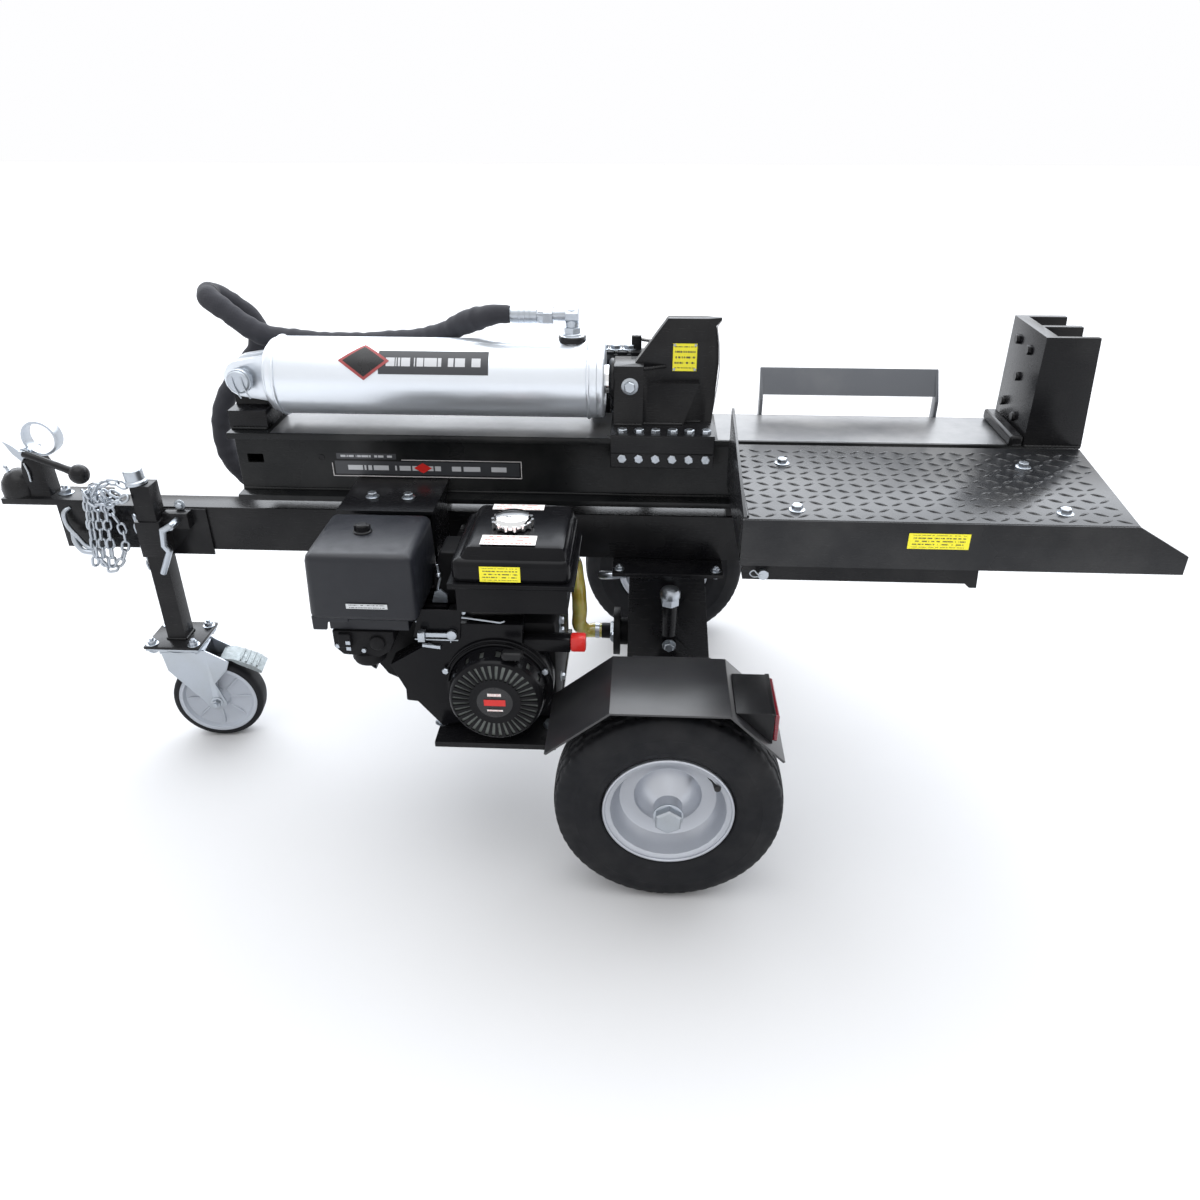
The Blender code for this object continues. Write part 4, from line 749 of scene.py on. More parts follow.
def chassis():
    with Piece("chassis_bolts", "chassis", ZINC) as made:
        for x in (-0.103, 0.094):
            for y in (-0.080, 0.150):
                made.bolt((x, y, 0.465), UP, 0.013, 0.006, nut=True)
                made.bolt((x, y, 0.4567), DOWN, 0.013, 0.006)
        made.bolt((-1.278, 0.0, 0.5762), UP, 0.019, 0.010, nut=True, shank=0.007)
        made.bolt((-1.222, 0.0, 0.5762), UP, 0.019, 0.009, nut=True, shank=0.005)
        for side in (-1, 1):
            for low in (0.398, 0.372):
                x = 0.095 + (0.445 - low) / 0.947
                made.bolt((x, side * 0.392, low + 0.001), (0.69, 0, 0.73), 0.010, 0.004)
        for y in (-0.052, -0.018):
            for z in (0.307, 0.273):
                made.bolt((-0.1005, y, z), REARWARD, 0.010, 0.005)
        made.bolt((-1.0198, -0.0345, 0.569), NEARWARD, 0.014, 0.006)
    with Piece("level_plug", "chassis", ZINC, 0.0004) as made:
        made.disc((0.004, -0.104, 0.300), NEARWARD, 0.014, 0.004, 24)
        made.bolt((0.004, -0.108, 0.300), NEARWARD, 0.019, 0.010, False)
    with Piece("breather_hex", "chassis", ZINC, 0.0004) as made:
        made.tube([(0.002, -0.116, 0.406), (0.002, -0.116, 0.421)], 0.0195, 6)
    with Piece("tank_embossing", "chassis", BLACK, 0.0008) as made:
        made.tube([(x, -0.0905, z) for x, z in arc((0.004, 0.356), 0.016, 0, 360, 24)[:-1]], 0.0016, 8, True)
        made.tube([(-0.004, -0.0905, 0.350), (0.012, -0.0905, 0.362)], 0.0016, 8)
    with Piece("frame_welds", "chassis", BLACK, smooth=60) as made:
        for y in (-0.092, 0.172):
            weld(made, (-0.082, y, 0.4555), (0.070, y, 0.4555))
        for rear in (-0.426, -0.222):
            weld(made, (rear, -0.118, 0.2895), (rear, -0.034, 0.2895))
        for x in (-0.026, 0.026):
            weld(made, (x, -0.089, 0.2325), (x, 0.165, 0.2325))
        for side in (-1, 1):
            weld(made, (-0.040, side * 0.3775, 0.2335), (0.040, side * 0.3775, 0.2335), 0.003)
    with Piece("hitch_hook", "chassis", ZINC) as made:
        made.tube(smooth_route([(-1.262, -0.028, 0.556), (-1.271, -0.037, 0.548), (-1.270, -0.041, 0.522),
            (-1.250, -0.046, 0.494), (-1.236, -0.047, 0.474), (-1.226, -0.047, 0.470),
            (-1.219, -0.046, 0.480)], 0.004), 0.0050, 12)
        made.tube(smooth_route([(-1.262, -0.040, 0.505), (-1.257, -0.050, 0.486), (-1.243, -0.053, 0.466),
            (-1.226, -0.050, 0.462)], 0.004), 0.0055, 12)
    with Piece("grease_nipple", "chassis", ZINC) as made:
        made.turned((-1.3865, 0, 0.618), (-0.45, 0, 0.9), [(0, 0), (0.0075, 0), (0.0075, 0.006),
            (0.004, 0.008), (0.0032, 0.014), (0.0045, 0.017), (0.003, 0.021), (0, 0.021)], 12)


def link(made, centre, along, across, wire=0.0029, length=0.029, width=0.019):
    """One welded chain link: an oval ring of round wire."""
    along = Vector(along).normalized()
    across = (Vector(across) - along * Vector(across).dot(along)).normalized()
    straight, bend = (length - width) / 2, width / 2 - wire
    points = []
    for end in (1, -1):
        for step in range(7):
            angle = -pi / 2 + pi * step / 6
            offset = along * (straight + bend * cos(angle)) + across * bend * sin(angle)
            points.append(Vector(centre) + offset * end)
    made.tube(points, wire, 8, True)


def chain(made, knots, start=0.0):
    pitch = 0.0215
    route = smooth_route(knots, pitch / 6)
    walked, due, number = 0.0, 0.0, 0
    for here, there in zip(route, route[1:]):
        walked += (there - here).length
        if walked < due:
            continue
        due += pitch
        heading = (there - here).normalized()
        side = heading.cross(Vector((0.2, 1.0, 0.1))).normalized()
        turn = Matrix.Rotation(start + (pi / 2) * (number % 2) + 0.35, 3, heading)
        link(made, here, heading, turn @ side)
        number += 1


def safety_chain():
    with Piece("chain_links", "chassis", ZINC, replaces=("safety_chain",), smooth=80) as made:
        near = -0.046
        chain(made, [(-1.205, near, 0.592), (-1.186, near - 0.010, 0.612), (-1.160, near - 0.012, 0.622),
            (-1.128, near - 0.014, 0.628), (-1.104, near - 0.020, 0.620)])
        chain(made, [(-1.200, near - 0.010, 0.598), (-1.184, near - 0.016, 0.582),
            (-1.150, near - 0.022, 0.582), (-1.118, near - 0.034, 0.596), (-1.098, near - 0.036, 0.606)],
            0.6)
        for x, low, lean, start in ((-1.196, 0.432, -0.026, 0.0), (-1.182, 0.424, -0.020, 0.7),
                (-1.166, 0.440, -0.018, 0.3), (-1.204, 0.470, -0.016, 1.0)):
            chain(made, [(x, near - 0.008, 0.592), (x + 0.3 * lean, near - 0.010, 0.540),
                (x + 0.7 * lean, near - 0.010, 0.480), (x + lean, near - 0.012, low)], start)
        chain(made, [(-1.218, near - 0.006, 0.478), (-1.204, near - 0.012, 0.446),
            (-1.186, near - 0.012, 0.428), (-1.168, near - 0.010, 0.442), (-1.150, near - 0.006, 0.476),
            (-1.146, near - 0.006, 0.520), (-1.160, near - 0.008, 0.560), (-1.176, near - 0.008, 0.596)],
            0.4)
        chain(made, [(-1.118, near + 0.004, 0.536), (-1.113, near + 0.004, 0.486),
            (-1.112, near + 0.004, 0.446), (-1.108, near + 0.004, 0.424)], 0.2)
        for x in (-1.176, -1.156, -1.136):
            link(made, (x, near - 0.014, 0.604 + DICE.uniform(-0.006, 0.006)), (DICE.uniform(0.4, 1), 0.1,
                DICE.uniform(-1, 1)), (0.1, 1, 0.3))


def hitch():
    at = (-1.325, 0.0, 0.674)
    with Piece("latch_knob", "latch", BLACK, smooth=60) as made:
        made.ball((-1.203, -0.055, 0.642), 0.0200, 18, 32)
        made.tube([(-1.324, -0.0300, 0.6745), (-1.300, -0.0348, 0.6683), (-1.232, -0.0487, 0.6501),
            (-1.214, -0.0525, 0.6455)], 0.0075, 16, taper=lambda t: 1.0 if t < 0.7 else 1.25)
    with Piece("latch_plate", "latch", ZINC, 0.0006) as made:
        made.prism([(-1.348, 0.690), (-1.366, 0.700), (-1.352, 0.672), (-1.336, 0.655), (-1.326, 0.668)],
            "Y", -0.0265, -0.0225)
        made.bolt((at[0], -0.0265, at[2]), NEARWARD, 0.013, 0.006)
    with Piece("lock_slot", "chassis", ZINC) as made:
        made.tube(smooth_route([(-1.337, -0.0205, 0.650), (-1.331, -0.024, 0.632),
            (-1.333, -0.0215, 0.610)], 0.004), 0.0022, 8)


def jockey():
    leg = middle("castor_plate") - SHIFT
    with Piece("castor_bolts", "jockey", ZINC) as made:
        for dx in (-0.046, 0.046):
            for dy in (-0.041, 0.041):
                made.bolt((leg.x + dx, leg.y + dy, 0.264), UP, 0.016, 0.008, nut=True, shank=0.006)
                made.bolt((leg.x + dx, leg.y + dy, 0.252), DOWN, 0.016, 0.007)
    with Piece("leg_cap", "jockey", ZINC, 0.0008) as made:
        made.turned((leg.x - 0.013, leg.y, 0.6235), (-0.12, 0, 1), [(0, 0), (0.0225, 0), (0.0225, 0.006),
            (0.0190, 0.009), (0.0190, 0.029), (0.0165, 0.0318), (0, 0.0318)], 20)
    with Piece("leg_weld", "jockey", BLACK, smooth=60) as made:
        ring = [(-0.021, -0.021), (0.021, -0.021), (0.021, 0.021), (-0.021, 0.021)]
        for (ax, ay), (bx, by) in zip(ring, ring[1:] + ring[:1]):
            weld(made, (leg.x + ax, leg.y + ay, 0.2655), (leg.x + bx, leg.y + by, 0.2655), 0.003)
    turn = radians(7.0)
    trail, across = Vector((cos(turn), sin(turn), 0)), Vector((-sin(turn), cos(turn), 0))
    hub = middle("castor_wheel") - SHIFT
    with Piece("castor_tread", "castor", TYRE, replaces=("castor_wheel",), smooth=50) as made:
        made.turned(hub, across, [(0.0865, -0.0235), (0.094, -0.0232), (0.0985, -0.019), (0.1, -0.012),
            (0.1, 0.012), (0.0985, 0.019), (0.094, 0.0232), (0.0865, 0.0235)], 64, True)
    with Piece("castor_core", "castor", CASTOR_GREY, 0.0006) as made:
        made.turned(hub, across, [(0.0088, -0.027), (0.020, -0.027), (0.023, -0.020), (0.026, -0.011),
            (0.060, -0.0075), (0.074, -0.012), (0.078, -0.0225), (0.0863, -0.0225), (0.0863, 0.0225),
            (0.078, 0.0225), (0.074, 0.012), (0.060, 0.0075), (0.026, 0.011), (0.023, 0.020),
            (0.020, 0.027), (0.0088, 0.027)], 64, True)
        for number in range(8):
            spoke = Matrix.Rotation(tau * number / 8, 3, across) @ trail
            for face in (-1, 1):
                made.tube([hub + spoke * 0.030 + across * face * 0.0095,
                    hub + spoke * 0.074 + across * face * 0.0095], 0.0028, 8)
    with Piece("castor_axle_nuts", "fork", ZINC) as made:
        made.bolt(hub - across * 0.0325, -across, 0.017, 0.009, nut=True, shank=0.005)
        made.bolt(hub + across * 0.0325, across, 0.017, 0.009)
    with Piece("swivel_race", "fork", ZINC, 0.0005) as made:
        made.turned((leg.x, leg.y, 0.2345), UP, [(0.0375, 0), (0.041, 0.002), (0.041, 0.007),
            (0.0375, 0.0078)], 32, True)
    with Piece("pedal_ribs", "brake", PEDAL_ZINC, 0.0006) as made:
        foot = Vector((leg.x, leg.y, 0))
        for step in range(4):
            spot = foot + trail * (0.124 + 0.011 * step) + Vector((0, 0, 0.2058 - 0.0058 * step))
            made.tube([spot - across * 0.0235, spot + across * 0.0235], 0.0022, 8)


# ---------------------------------------------------------------- road wheels
def tyre(side, label):
    """Cross-ply trailer tyre: zigzag grooves round the tread, notched shoulders, ringed sidewalls."""
    steps = 300
    crown = [-0.0445, -0.0405, -0.0365, -0.0345, -0.0325, -0.0285, -0.0225, -0.0185, -0.0165, -0.0145,
        -0.0105, -0.0045, -0.0020, 0.0, 0.0020, 0.0045]
    crown = crown + [-value for value in reversed(crown[:-3])]
    wall = [(0.1185, 0.043), (0.1205, 0.0475), (0.126, 0.0515), (0.134, 0.0545), (0.1365, 0.0562),
        (0.139, 0.0560), (0.150, 0.0580), (0.165, 0.0590), (0.1665, 0.0598), (0.169, 0.0592),
        (0.180, 0.0580), (0.188, 0.0560), (0.194, 0.0535), (0.1985, 0.0510), (0.2015, 0.0482)]
    rows = []
    for step in range(steps):
        angle = tau * step / steps
        zig = 0.0016 * (1 if (step // 5) % 2 else -1)
        notch = step % 5 in (0, 1)
        profile = [(r - (0.0008 if notch and r > 0.190 else 0.0), -y) for r, y in wall]
        for y in crown:
            radius = WHEEL_RADIUS - 0.0045 * (abs(y) / 0.0445) ** 3
            groove = min(abs(y - centre - zig) for centre in (-0.0345, -0.0165, 0.0, 0.0165, 0.0345))
            depth = 0.0045 if groove < 0.0026 else 0.0
            edge_cut = 0.0010 if notch and abs(y) > 0.0395 else 0.0
            profile.append((radius - depth - edge_cut, y))
        profile += [(r - (0.0008 if notch and r > 0.190 else 0.0), y) for r, y in reversed(wall)]
        rows.append([(sin(angle) * r, side * WHEEL_Y + y, WHEEL_RADIUS - cos(angle) * r) for r, y in profile])
    with Piece(f"tyre_{label}_tread", f"wheel_{label}", TYRE, replaces=(f"tyre_{label}",), smooth=40) as made:
        made.grid(rows, True, True)


def rim(side, label):
    face = side * WHEEL_Y
    out = (0, side, 0)
    with Piece(f"hub_cap_{label}", f"wheel_{label}", ZINC, 0.0005) as made:
        made.turned((0, face + side * 0.058, WHEEL_RADIUS), out, [(0, 0), (0.0275, 0), (0.0275, 0.0035),
            (0.024, 0.005), (0, 0.005)], 32)
        made.bolt((0, face + side * 0.062, WHEEL_RADIUS), out, 0.045, 0.0165, False)
    with Piece(f"valve_stem_{label}", f"wheel_{label}", HOSE) as made:
        start = Vector((0.074, face + side * 0.008, WHEEL_RADIUS + 0.050))
        made.tube([start, start + Vector((0.006, side * 0.016, 0.004)),
            start + Vector((0.009, side * 0.032, 0.006))], 0.0052, 12)
        made.tube([start + Vector((0.009, side * 0.030, 0.006)),
            start + Vector((0.0105, side * 0.042, 0.007))], 0.0062, 8)
    with Piece(f"rim_lip_{label}", f"wheel_{label}", RIM_SILVER, smooth=60) as made:
        for edge in (side * 0.0495, -side * 0.0495):
            made.tube([(0.1155 * cos(a), face + edge,
                        WHEEL_RADIUS + 0.1155 * sin(a)) for a in (tau * n / 96 for n in range(96))],
                      0.0030, 10, True)


def lamps():
    for side, label in ((-1, "near"), (1, "far")):
        with Piece(f"tail_lens_{label}", "chassis", LENS, 0.0022, smooth=50) as made:
            y = sorted((side * 0.529, side * 0.417))
            made.prism([(0.1682, 0.3815), (0.1765, 0.3800), (0.1765, 0.4320), (0.1682, 0.4350)], "Y", *y)
        with Piece(f"lamp_gasket_{label}", "chassis", HOSE, 0.0008) as made:
            y = sorted((side * 0.534, side * 0.412))
            made.prism([(0.162, 0.4385), (0.1695, 0.4385), (0.1695, 0.4362), (0.162, 0.4362)], "Y", *y)


# ---------------------------------------------------------------- beam, cylinder, ram and foot
def beam():
    with Piece("beam_welds", "beam_group", BEAM_BLACK, smooth=60) as made:
        for side in (-1, 1):
            weld(made, (-0.868, side * 0.0485, 0.6165), (0.752, side * 0.0485, 0.6165), 0.0042)
            weld(made, (-0.868, side * 0.0485, 0.7305), (0.752, side * 0.0485, 0.7305), 0.0036)
        for y in (-0.0575, 0.0575):
            weld(made, (-0.866, y, 0.7460), (-0.796, y, 0.7460), 0.0035)
    # A film on the beam's top face, lighter than its sides: partly rubbed wear, partly painted sky sheen.
    with Piece("beam_top_wear_and_sheen", "beam_group", WORN_AND_SHEEN_TOP) as made:
        made.box((0.082, -0.0755, 0.7441), (0.645, 0.0755, 0.7444))
        made.box((-0.785, -0.0755, 0.7441), (-0.124, 0.0755, 0.7444))
    with Piece("beam_end_plate", "beam_group", BLACK) as made:
        made.box((-0.8695, -0.0396, 0.6290), (-0.8655, 0.0396, 0.7315))
    with Piece("foot_welds", "beam_group", BLACK, smooth=60) as made:
        for y in (-0.0875, 0.0875):
            weld(made, (0.650, y, 0.7455), (0.752, y, 0.7455), 0.0035)
    with Piece("stop_bar", "beam_group", BLACK, 0.005) as made:
        made.prism([(0.622, 0.7445), (0.6468, 0.7445), (0.6468, 0.7650), (0.622, 0.7650)], "Y", -0.088, 0.078)
    with Piece("foot_bolts", "beam_group", BLACK, smooth=45) as made:
        for y, z in ((0.040, 0.913), (-0.024, 0.909), (0.006, 0.851), (-0.0165, 0.780), (0.052, 0.790)):
            made.bolt((0.648, y, z), REARWARD, 0.016, 0.007, False)
    with Piece("beam_hole_rim", "beam_group", BEAM_BLACK) as made:
        made.turned((-0.700, -0.0482, 0.685), NEARWARD, [(0.0045, 0), (0.0065, 0), (0.0062, 0.0008),
            (0.0048, 0.0008)], 24, True)
    # A thin dark disc stands in for the hole: painted shade of the beam's inside.
    with Piece("beam_hole_shade_disc", "beam_group", KNOB) as made:
        made.turned((-0.700, -0.0482, 0.685), NEARWARD, [(0, 0.0), (0.0046, 0.0), (0.0046, 0.0002),
            (0, 0.0002)], 24)


def hoop(x, radius, steps):
    """Points round the cylinder's axis."""
    turns = [tau * number / steps for number in range(steps)]
    return [(x, radius * cos(turn), CYLINDER_Z + radius * sin(turn)) for turn in turns]


def cylinder_fittings():
    with Piece("port_hexes", "beam_group", ZINC, 0.0006) as made:
        x, top = -0.1985, 0.958
        made.turned((x, 0, 0.9195), UP, [(0, 0), (0.0185, 0), (0.0185, 0.004), (0.017, 0.006), (0, 0.006)],
            28)
        made.tube([(x, 0, 0.922), (x, 0, 0.936)], 0.0170, 6)
        made.tube([(x + 0.012, 0, top), (x - 0.012, 0, top)], 0.0160, 8)
        made.tube([(-0.234, 0, top), (-0.252, 0, top)], 0.0185, 6)
        made.tube([(-0.252, 0, top), (-0.264, 0, top)], 0.0160, 6)
        made.tube([(-0.264, 0, top), (-0.268, 0, top), (-0.308, 0, top), (-0.312, 0, top)], 0.0158, 20)
        for x in (-0.276, -0.286, -0.296):
            made.tube([(x, 0, top), (x - 0.003, 0, top)], 0.0166, 20)
    with Piece("port_boss", "beam_group", BLACK, 0.001) as made:
        made.turned((-0.1985, 0, 0.9085), UP, [(0.0225, 0), (0.0262, 0), (0.0262, 0.0095), (0.0240, 0.0118),
            (0.0225, 0.0118)], 32, True)
    with Piece("barrel_welds", "beam_group", SILVER, smooth=70) as made:
        for x in (-0.764, -0.166):
            made.tube(hoop(x, 0.0738, 160), 0.0034, 8, True, taper=lambda t: 0.9 + 0.16 * abs(sin(t * 160)))
        made.tube(hoop(-0.7845, 0.0585, 96), 0.0042, 8, True)
    with Piece("clevis_pin_clips", "beam_group", ZINC, 0.0006) as made:
        at = Vector((-0.838, -0.0525, CYLINDER_Z))
        made.turned(at, NEARWARD, [(0, 0), (0.0215, 0), (0.0215, 0.003), (0.019, 0.0048), (0, 0.0048)], 28)
        for x in (-0.010, 0.008):
            made.tube(smooth_route([at + Vector((x, -0.005, 0.012)),
                at + Vector((x + 0.004, -0.007, -0.010)), at + Vector((x + 0.014, -0.009, -0.030))], 0.004),
                0.0016, 8)
        made.bolt((-0.838, 0.052, CYLINDER_Z), FARWARD, 0.030, 0.010)


def wedge_parts():
    with Piece("slide_bolts", "ram", ZINC) as made:
        for number in range(6):
            x = -0.100 + 0.0318 * number
            for side in (-1, 1):
                made.bolt((x, side * 0.078, 0.757), UP, 0.0165, 0.008, False)
    with Piece("gib_bolts", "ram", ZINC) as made:
        for number in range(6):
            x = -0.100 + 0.0318 * number
            for side in (-1, 1):
                made.bolt((x, side * 0.094, 0.711), (0, side, 0), 0.0155, 0.0045, False)
    with Piece("slide_seams", "ram", BLACK, 0.0008) as made:
        for side in (-1, 1):
            y = sorted((side * 0.0935, side * 0.0958))
            made.box((-0.1212, y[0], 0.7225), (0.0742, y[1], 0.7550))
            made.box((-0.1212, y[0], 0.6935), (0.0742, y[1] - (0.0012 if side > 0 else 0.0) , 0.7205))
    with Piece("wedge_welds", "ram", BLACK, smooth=60) as made:
        for side in (-1, 1):
            weld(made, (-0.062, side * 0.0295, 0.7580), (0.014, side * 0.0295, 0.7580), 0.004)
            weld(made, (-0.116, side * 0.037, 0.7580), (-0.064, side * 0.037, 0.7580), 0.004)
            weld(made, (-0.062, side * 0.0335, 0.8665), (-0.020, side * 0.0115, 0.8665), 0.0035)
            weld(made, (0.016, side * 0.0120, 0.7580), (0.050, side * 0.0120, 0.7580), 0.0035)
    with Piece("rod_cross_bolt", "ram", ZINC) as made:
        made.bolt((-0.0876, -0.0362, 0.8337), NEARWARD, 0.020, 0.009)
        made.bolt((-0.0876, 0.0362, 0.8337), FARWARD, 0.020, 0.009, nut=True, shank=0.006)
    with Piece("rod_collar", "ram", BLACK, 0.001) as made:
        made.turned((-0.118, 0, CYLINDER_Z), REARWARD, [(0.0284, 0), (0.040, 0), (0.040, 0.006),
            (0.036, 0.010), (0.0284, 0.010)], 36, True)
    with Piece("cutting_edge", "ram", STEEL) as made:
        steps = [(0.0822, 0.952), (0.0735, 0.938), (0.0800, 0.905), (0.0827, 0.862), (0.0800, 0.825),
            (0.0722, 0.762)]
        made.tube([(x, 0, z) for x, z in steps], 0.0012, 8)
    with Piece("wedge_sticker", "ram", YELLOW) as made:
        y = -0.0113
        made.label(-0.0074, 0.0380, y, 0.8577, 0.9100)
    with Piece("wedge_rivets", "ram", ZINC) as made:
        for x in (-0.0045, 0.0350):
            for z in (0.8608, 0.9070):
                made.turned((x, -0.0117, z), NEARWARD, [(0, 0), (0.0030, 0), (0.0024, 0.0014), (0, 0.0019)],
                    12)


def valve():
    with Piece("valve_details", "beam_group", CAST, 0.0010) as made:
        for x in (-0.160, -0.133, -0.106, -0.079):
            made.box((x - 0.010, 0.106, 0.8555), (x + 0.010, 0.160, 0.8610))
        made.turned((-0.055, 0.133, 0.823), FORWARD, [(0, 0), (0.021, 0), (0.021, 0.014), (0.017, 0.020),
            (0, 0.020)], 24)
        made.turned((-0.170, 0.133, 0.823), REARWARD, [(0, 0), (0.018, 0), (0.018, 0.022), (0.014, 0.026),
            (0, 0.026)], 24)
    with Piece("valve_plugs", "beam_group", ZINC) as made:
        for x in (-0.147, -0.120, -0.093):
            made.bolt((x, 0.133, 0.861), UP, 0.019, 0.008)
        made.bolt((-0.103, 0.107, 0.826), NEARWARD, 0.019, 0.006)
        for x in (-0.160, -0.136):
            made.bolt((x, 0.0905, 0.740), FARWARD, 0.013, 0.006)
    with Piece("lever_knob", "valve_handle", KNOB, smooth=60) as made:
        made.ball((0.034, 0.145, 0.862), 0.0155, 14, 24)


# ---------------------------------------------------------------- table and guard
def table():
    rear, near, inner, top = 0.1095, -0.4290, -0.1010, BEAM_TOP
    with Piece("chequer_bars", "beam_group", TREAD_PLATE, smooth=50) as made:
        pitch, length, width, rise = 0.0262, 0.0250, 0.0052, 0.0016
        columns, lines = ceil((0.745 - rear) / pitch), ceil((inner - near) / pitch)
        for row in range(lines):
            for column in range(columns):
                x, y = rear + 0.010 + pitch * column, near + 0.010 + pitch * row
                limit = 0.714 + (0.749 - 0.714) * (y - near) / (inner - near) - 0.014
                if x > limit or y > inner - 0.008:
                    continue
                if any((x - bx) ** 2 + (y - by) ** 2 < 0.013 ** 2 for bx, by in TABLE_BOLTS):
                    continue
                lean = radians(32 if (row + column) % 2 else -32)
                along, across = Vector((cos(lean), sin(lean), 0)), Vector((-sin(lean), cos(lean), 0))
                spot = Vector((x, y, top))
                ring = [spot + along * length / 2 * sx + across * width / 2 * sy for sx,
                    sy in ((-1, 0), (-0.55, -0.85), (0.0, -1), (0.55, -0.85), (1, 0), (0.55, 0.85), (0, 1),
                    (-0.55, 0.85))]
                crest = [point.lerp(spot, 0.42) + Vector((0, 0, rise)) for point in ring]
                rows = made.grid([ring, crest], False, True)
                made.bm.faces.new(rows[-1])
    with Piece("table_bolts", "beam_group", ZINC) as made:
        for x, y in TABLE_BOLTS:
            made.bolt((x, y, top), UP, 0.016, 0.008)
            made.bolt((x, y, 0.699), DOWN, 0.016, 0.007, nut=True)
        for x in (0.190, 0.615):
            for z in (0.650, 0.670):
                made.bolt((x - 0.021, -0.120, 0.660 if z < 0.66 else 0.690), REARWARD, 0.010, 0.004)
    with Piece("apron_sticker", "beam_group", YELLOW) as made:
        y = -0.4362
        made.label(0.362, 0.458, y, 0.6990, 0.7260)
    with Piece("rail_clip", "rail_pin", ZINC) as made:
        at = Vector((0.139, -0.4425, 0.650))
        made.disc(at, NEARWARD, 0.0085, 0.003, 20)
        turns = ((0.008, -0.001, 0.004), (0.0, -0.003, 0.0), (-0.009, -0.003, 0.002),
            (-0.016, -0.003, 0.009), (-0.022, -0.003, 0.003), (-0.016, -0.003, -0.003),
            (-0.006, -0.003, -0.002))
        made.tube(smooth_route([at + Vector(turn) for turn in turns], 0.003), 0.0011, 8)
    with Piece("guard_bolts", "beam_group", ZINC) as made:
        for x in (0.1765, 0.5305):
            made.bolt((x + (0.0 if x < 0.3 else 0.006), 0.070, 0.662), (-1 if x < 0.3 else 1, 0, 0), 0.013,
                0.005)
    with Piece("table_welds", "beam_group", TREAD_PLATE, smooth=60) as made:
        weld(made, (0.1085, -0.428, 0.7450), (0.1085, -0.104, 0.7450), 0.0028)


TABLE_BOLTS = ((0.190, -0.190), (0.190, -0.395), (0.615, -0.190), (0.615, -0.390))


# ---------------------------------------------------------------- engine
CRANK = Vector((-0.309, -0.4033, 0.393))


def recoil_cover():
    """Deep pressed starter cup: a ring of radial slots in its face, short vents round its wall."""
    fine, count = 8, 36 * 8
    profile = [(0.0015, 0.0547), (0.0320, 0.0547), (0.0335, 0.0540), (0.0440, 0.0540), (0.0460, 0.0536),
        (0.0755, 0.0536), (0.0775, 0.0525), (0.0810, 0.0490), (0.0830, 0.0430), (0.0840, 0.0370),
        (0.0855, 0.0180), (0.0870, 0.0090), (0.0900, 0.0062), (0.0945, 0.0052), (0.0950, 0.0)]
    face_slot, wall_slot = 4, 9
    with Piece("recoil_cover_shell", "chassis", ENGINE, replaces=("recoil_cover",), smooth=40) as made, \
            Piece("recoil_slot_floor", "chassis", STARTER_GREY, smooth=40) as floor:
        rows = []
        for step in range(count):
            angle = tau * step / count
            rows.append([CRANK + Vector((cos(angle) * r, -h, sin(angle) * r)) for r, h in profile])
        verts = [[made.bm.verts.new(point) for point in row] for row in rows]
        for i in range(count):
            here, there = verts[i], verts[(i + 1) % count]
            out = Vector((cos(tau * (i + 0.5) / count), 0, sin(tau * (i + 0.5) / count)))
            for j in range(len(profile) - 1):
                corners = (here[j], here[j + 1], there[j + 1], there[j])
                slot = (j == face_slot and i % fine in (2, 3, 4,
                    5)) or (j == wall_slot and i % (2 * fine) in (2, 3, 4, 5, 6))
                if not slot:
                    made.bm.faces.new(corners)
                    continue
                down = Vector((0, 0.0035, 0)) if j == face_slot else -0.003 * out
                floor.bm.faces.new([floor.bm.verts.new(corner.co + down) for corner in corners])
                low = [made.bm.verts.new(corner.co + down) for corner in corners]
                before = i % fine not in (3, 4, 5) if j == face_slot else i % (2 * fine) == 2
                after = i % fine not in (2, 3, 4) if j == face_slot else i % (2 * fine) == 6
                sides = [(0, 1)] if before else []
                sides += [(2, 3)] if after else []
                for a, b in sides + [(1, 2), (3, 0)]:
                    made.bm.faces.new((corners[a], corners[b], low[b], low[a]))
        made.bm.faces.new([row[0] for row in verts])
        made.bm.faces.new([row[-1] for row in verts])

    def bar(low, high, half):
        y = CRANK.y - 0.0554
        x0, x1 = CRANK.x - half, CRANK.x + half
        return [(x0, y, CRANK.z + low), (x1, y, CRANK.z + low), (x1, y, CRANK.z + high),
            (x0, y, CRANK.z + high)]

    with Piece("recoil_label", "chassis", DARK_LABEL, smooth=60) as made:
        made.turned(CRANK + Vector((0, -0.0546, 0)), NEARWARD, [(0, 0.0003), (0.0315, 0.0003), (0.0320, 0)],
            64)
    with Piece("recoil_label_print", "chassis", WHITE) as made:
        made.sticker(bar(0.0135, 0.0195, 0.012))
        made.sticker(bar(-0.0180, -0.0145, 0.014))
    with Piece("recoil_label_band", "chassis", RED) as made:
        made.sticker(bar(-0.0065, 0.0065, 0.019))
    with Piece("shroud_arches", "chassis", ENGINE, smooth=60) as made:
        for radius, lift, start, end in ((0.0905, 0.0085, 8, 172), (0.0960, 0.0040, 16, 164)):
            made.tube([(x, CRANK.y - lift, z) for x, z in arc((CRANK.x, CRANK.z), radius, start, end, 40)],
                0.0026, 10)
    with Piece("recoil_screws", "chassis", ZINC) as made:
        for x, z in ((-0.4020, 0.4262), (-0.2240, 0.4300)):
            made.bolt((x, -0.4093, z), NEARWARD, 0.011, 0.006, False)


